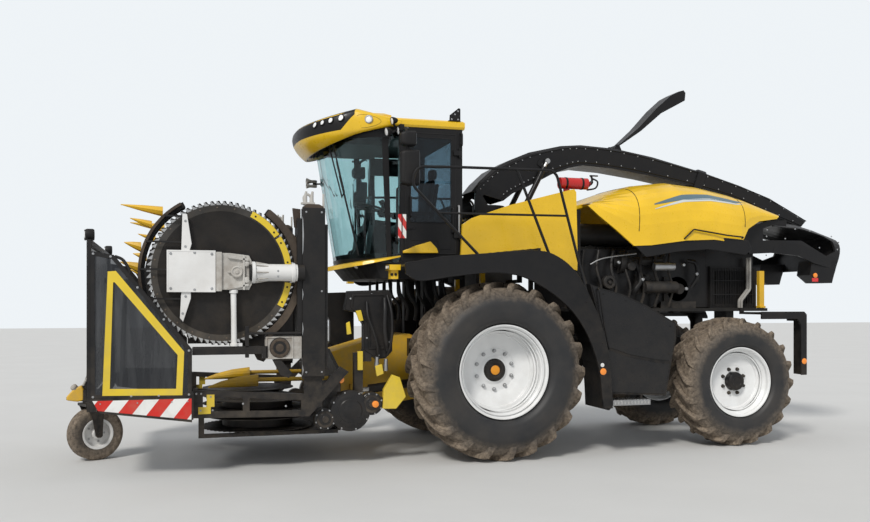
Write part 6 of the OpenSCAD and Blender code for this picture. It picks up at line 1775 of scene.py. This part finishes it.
# %% Extinguisher fittings and the rear mudguards' skirts
bottle = Shape()
add_tube(bottle, flowing([(1382, -850, 3366), (1430, -850, 3372), (1452, -850, 3420), (1440, -850, 3470)]),
         [34] * 6 + [22] * 8 + [14] * 10 + [20], 16)
add_block(bottle, (1420, -862, 3466), (1530, -838, 3482))
add_tube(bottle, flowing([(1452, -850, 3440), (1528, -850, 3400), (1500, -850, 3320), (1380, -850, 3290)]),
         11, 10)
for x in (1080, 1300):
    add_turned(bottle, [(74, -14), (76, -12), (76, 12), (74, 14)], (x, -850, 3366), (1, 0, 0), 32)
make(bottle, "extinguisher_fittings", panel_black, "chassis", "paint_black", bevel=1)
guard, guard_marker = Shape(), Shape()
add_prism(guard, [(3630, 1738), (4288, 1738), (4327, 1700), (4327, 904), (4240, 904), (4234, 1560),
                  (4184, 1640), (3630, 1640)], "y", -1324, -1296)
chassis_pair(guard, "rear_fender_skirt", panel_black, "black_plastic", bevel=8, segments=3)
add_turned(guard_marker, [(38, -4), (38, 3), (30, 8), (0, 9)], (4283, -1324, 1085), LEFT, 28)
chassis_pair(guard_marker, "rear_fender_reflector", reflector_orange, "clear_glass")

# %% [markdown]
# ## Floor and light
# A pale floor with soft light from above and behind the camera shows the machine from all sides.
# The backdrop's brightness is for the eye only: the object is lit by the lamps and a dimmer sky.

# %% Lay the floor
floor_mesh = bpy.data.meshes.new("floor")
floor_mesh.from_pydata([(-60, -60, 0), (60, -60, 0), (60, 60, 0), (-60, 60, 0)], [], [(0, 1, 2, 3)])
floor = bpy.data.objects.new("floor", floor_mesh)
bpy.context.scene.collection.objects.link(floor)
floor_finish, floor_tree, floor_shader = new_finish("floor_finish")
floor_place = place_on_piece(floor_tree)
floor_tone = add_mix(floor_tree, add_noise(floor_tree, floor_place, 0.8), (0.60, 0.60, 0.59),
                     (0.66, 0.66, 0.65))
floor_tree.links.new(floor_tone, floor_shader.inputs["Base Color"])
floor_shader.inputs["Roughness"].default_value = 0.9
floor_mesh.materials.append(floor_finish)

# %% Sky and lamps
world = bpy.data.worlds.new("studio")
world.use_nodes = True
bpy.context.scene.world = world
sky_tree = world.node_tree
sky = sky_tree.nodes["Background"]
SKY_LIGHT = 0.62
seen_sky = add_node(sky_tree, "ShaderNodeBackground", Color=(0.86, 0.90, 0.93, 1), Strength=1.0)
sky.inputs["Color"].default_value = (0.93, 0.96, 1.0, 1)
sky.inputs["Strength"].default_value = SKY_LIGHT
light_path = sky_tree.nodes.new("ShaderNodeLightPath")
seen = add_math(sky_tree, "MAXIMUM", light_path.outputs["Is Camera Ray"],
                light_path.outputs["Is Transmission Ray"])
chosen = add_node(sky_tree, "ShaderNodeMixShader", Fac=seen)
sky_tree.links.new(sky.outputs[0], chosen.inputs[1])
sky_tree.links.new(seen_sky.outputs[0], chosen.inputs[2])
sky_tree.links.new(chosen.outputs[0], sky_tree.nodes["World Output"].inputs["Surface"])

sun_data = bpy.data.lights.new("key", "SUN")
sun_data.energy = 2.1
sun_data.angle = math.radians(12)
sun_data.color = (1.0, 0.97, 0.92)
sun = bpy.data.objects.new("key", sun_data)
sun.rotation_euler = (math.radians(48), 0, math.radians(-38))
bpy.context.scene.collection.objects.link(sun)
bpy.context.scene.view_settings.view_transform = "Standard"
print("sky", SKY_LIGHT, "sun", sun_data.energy)
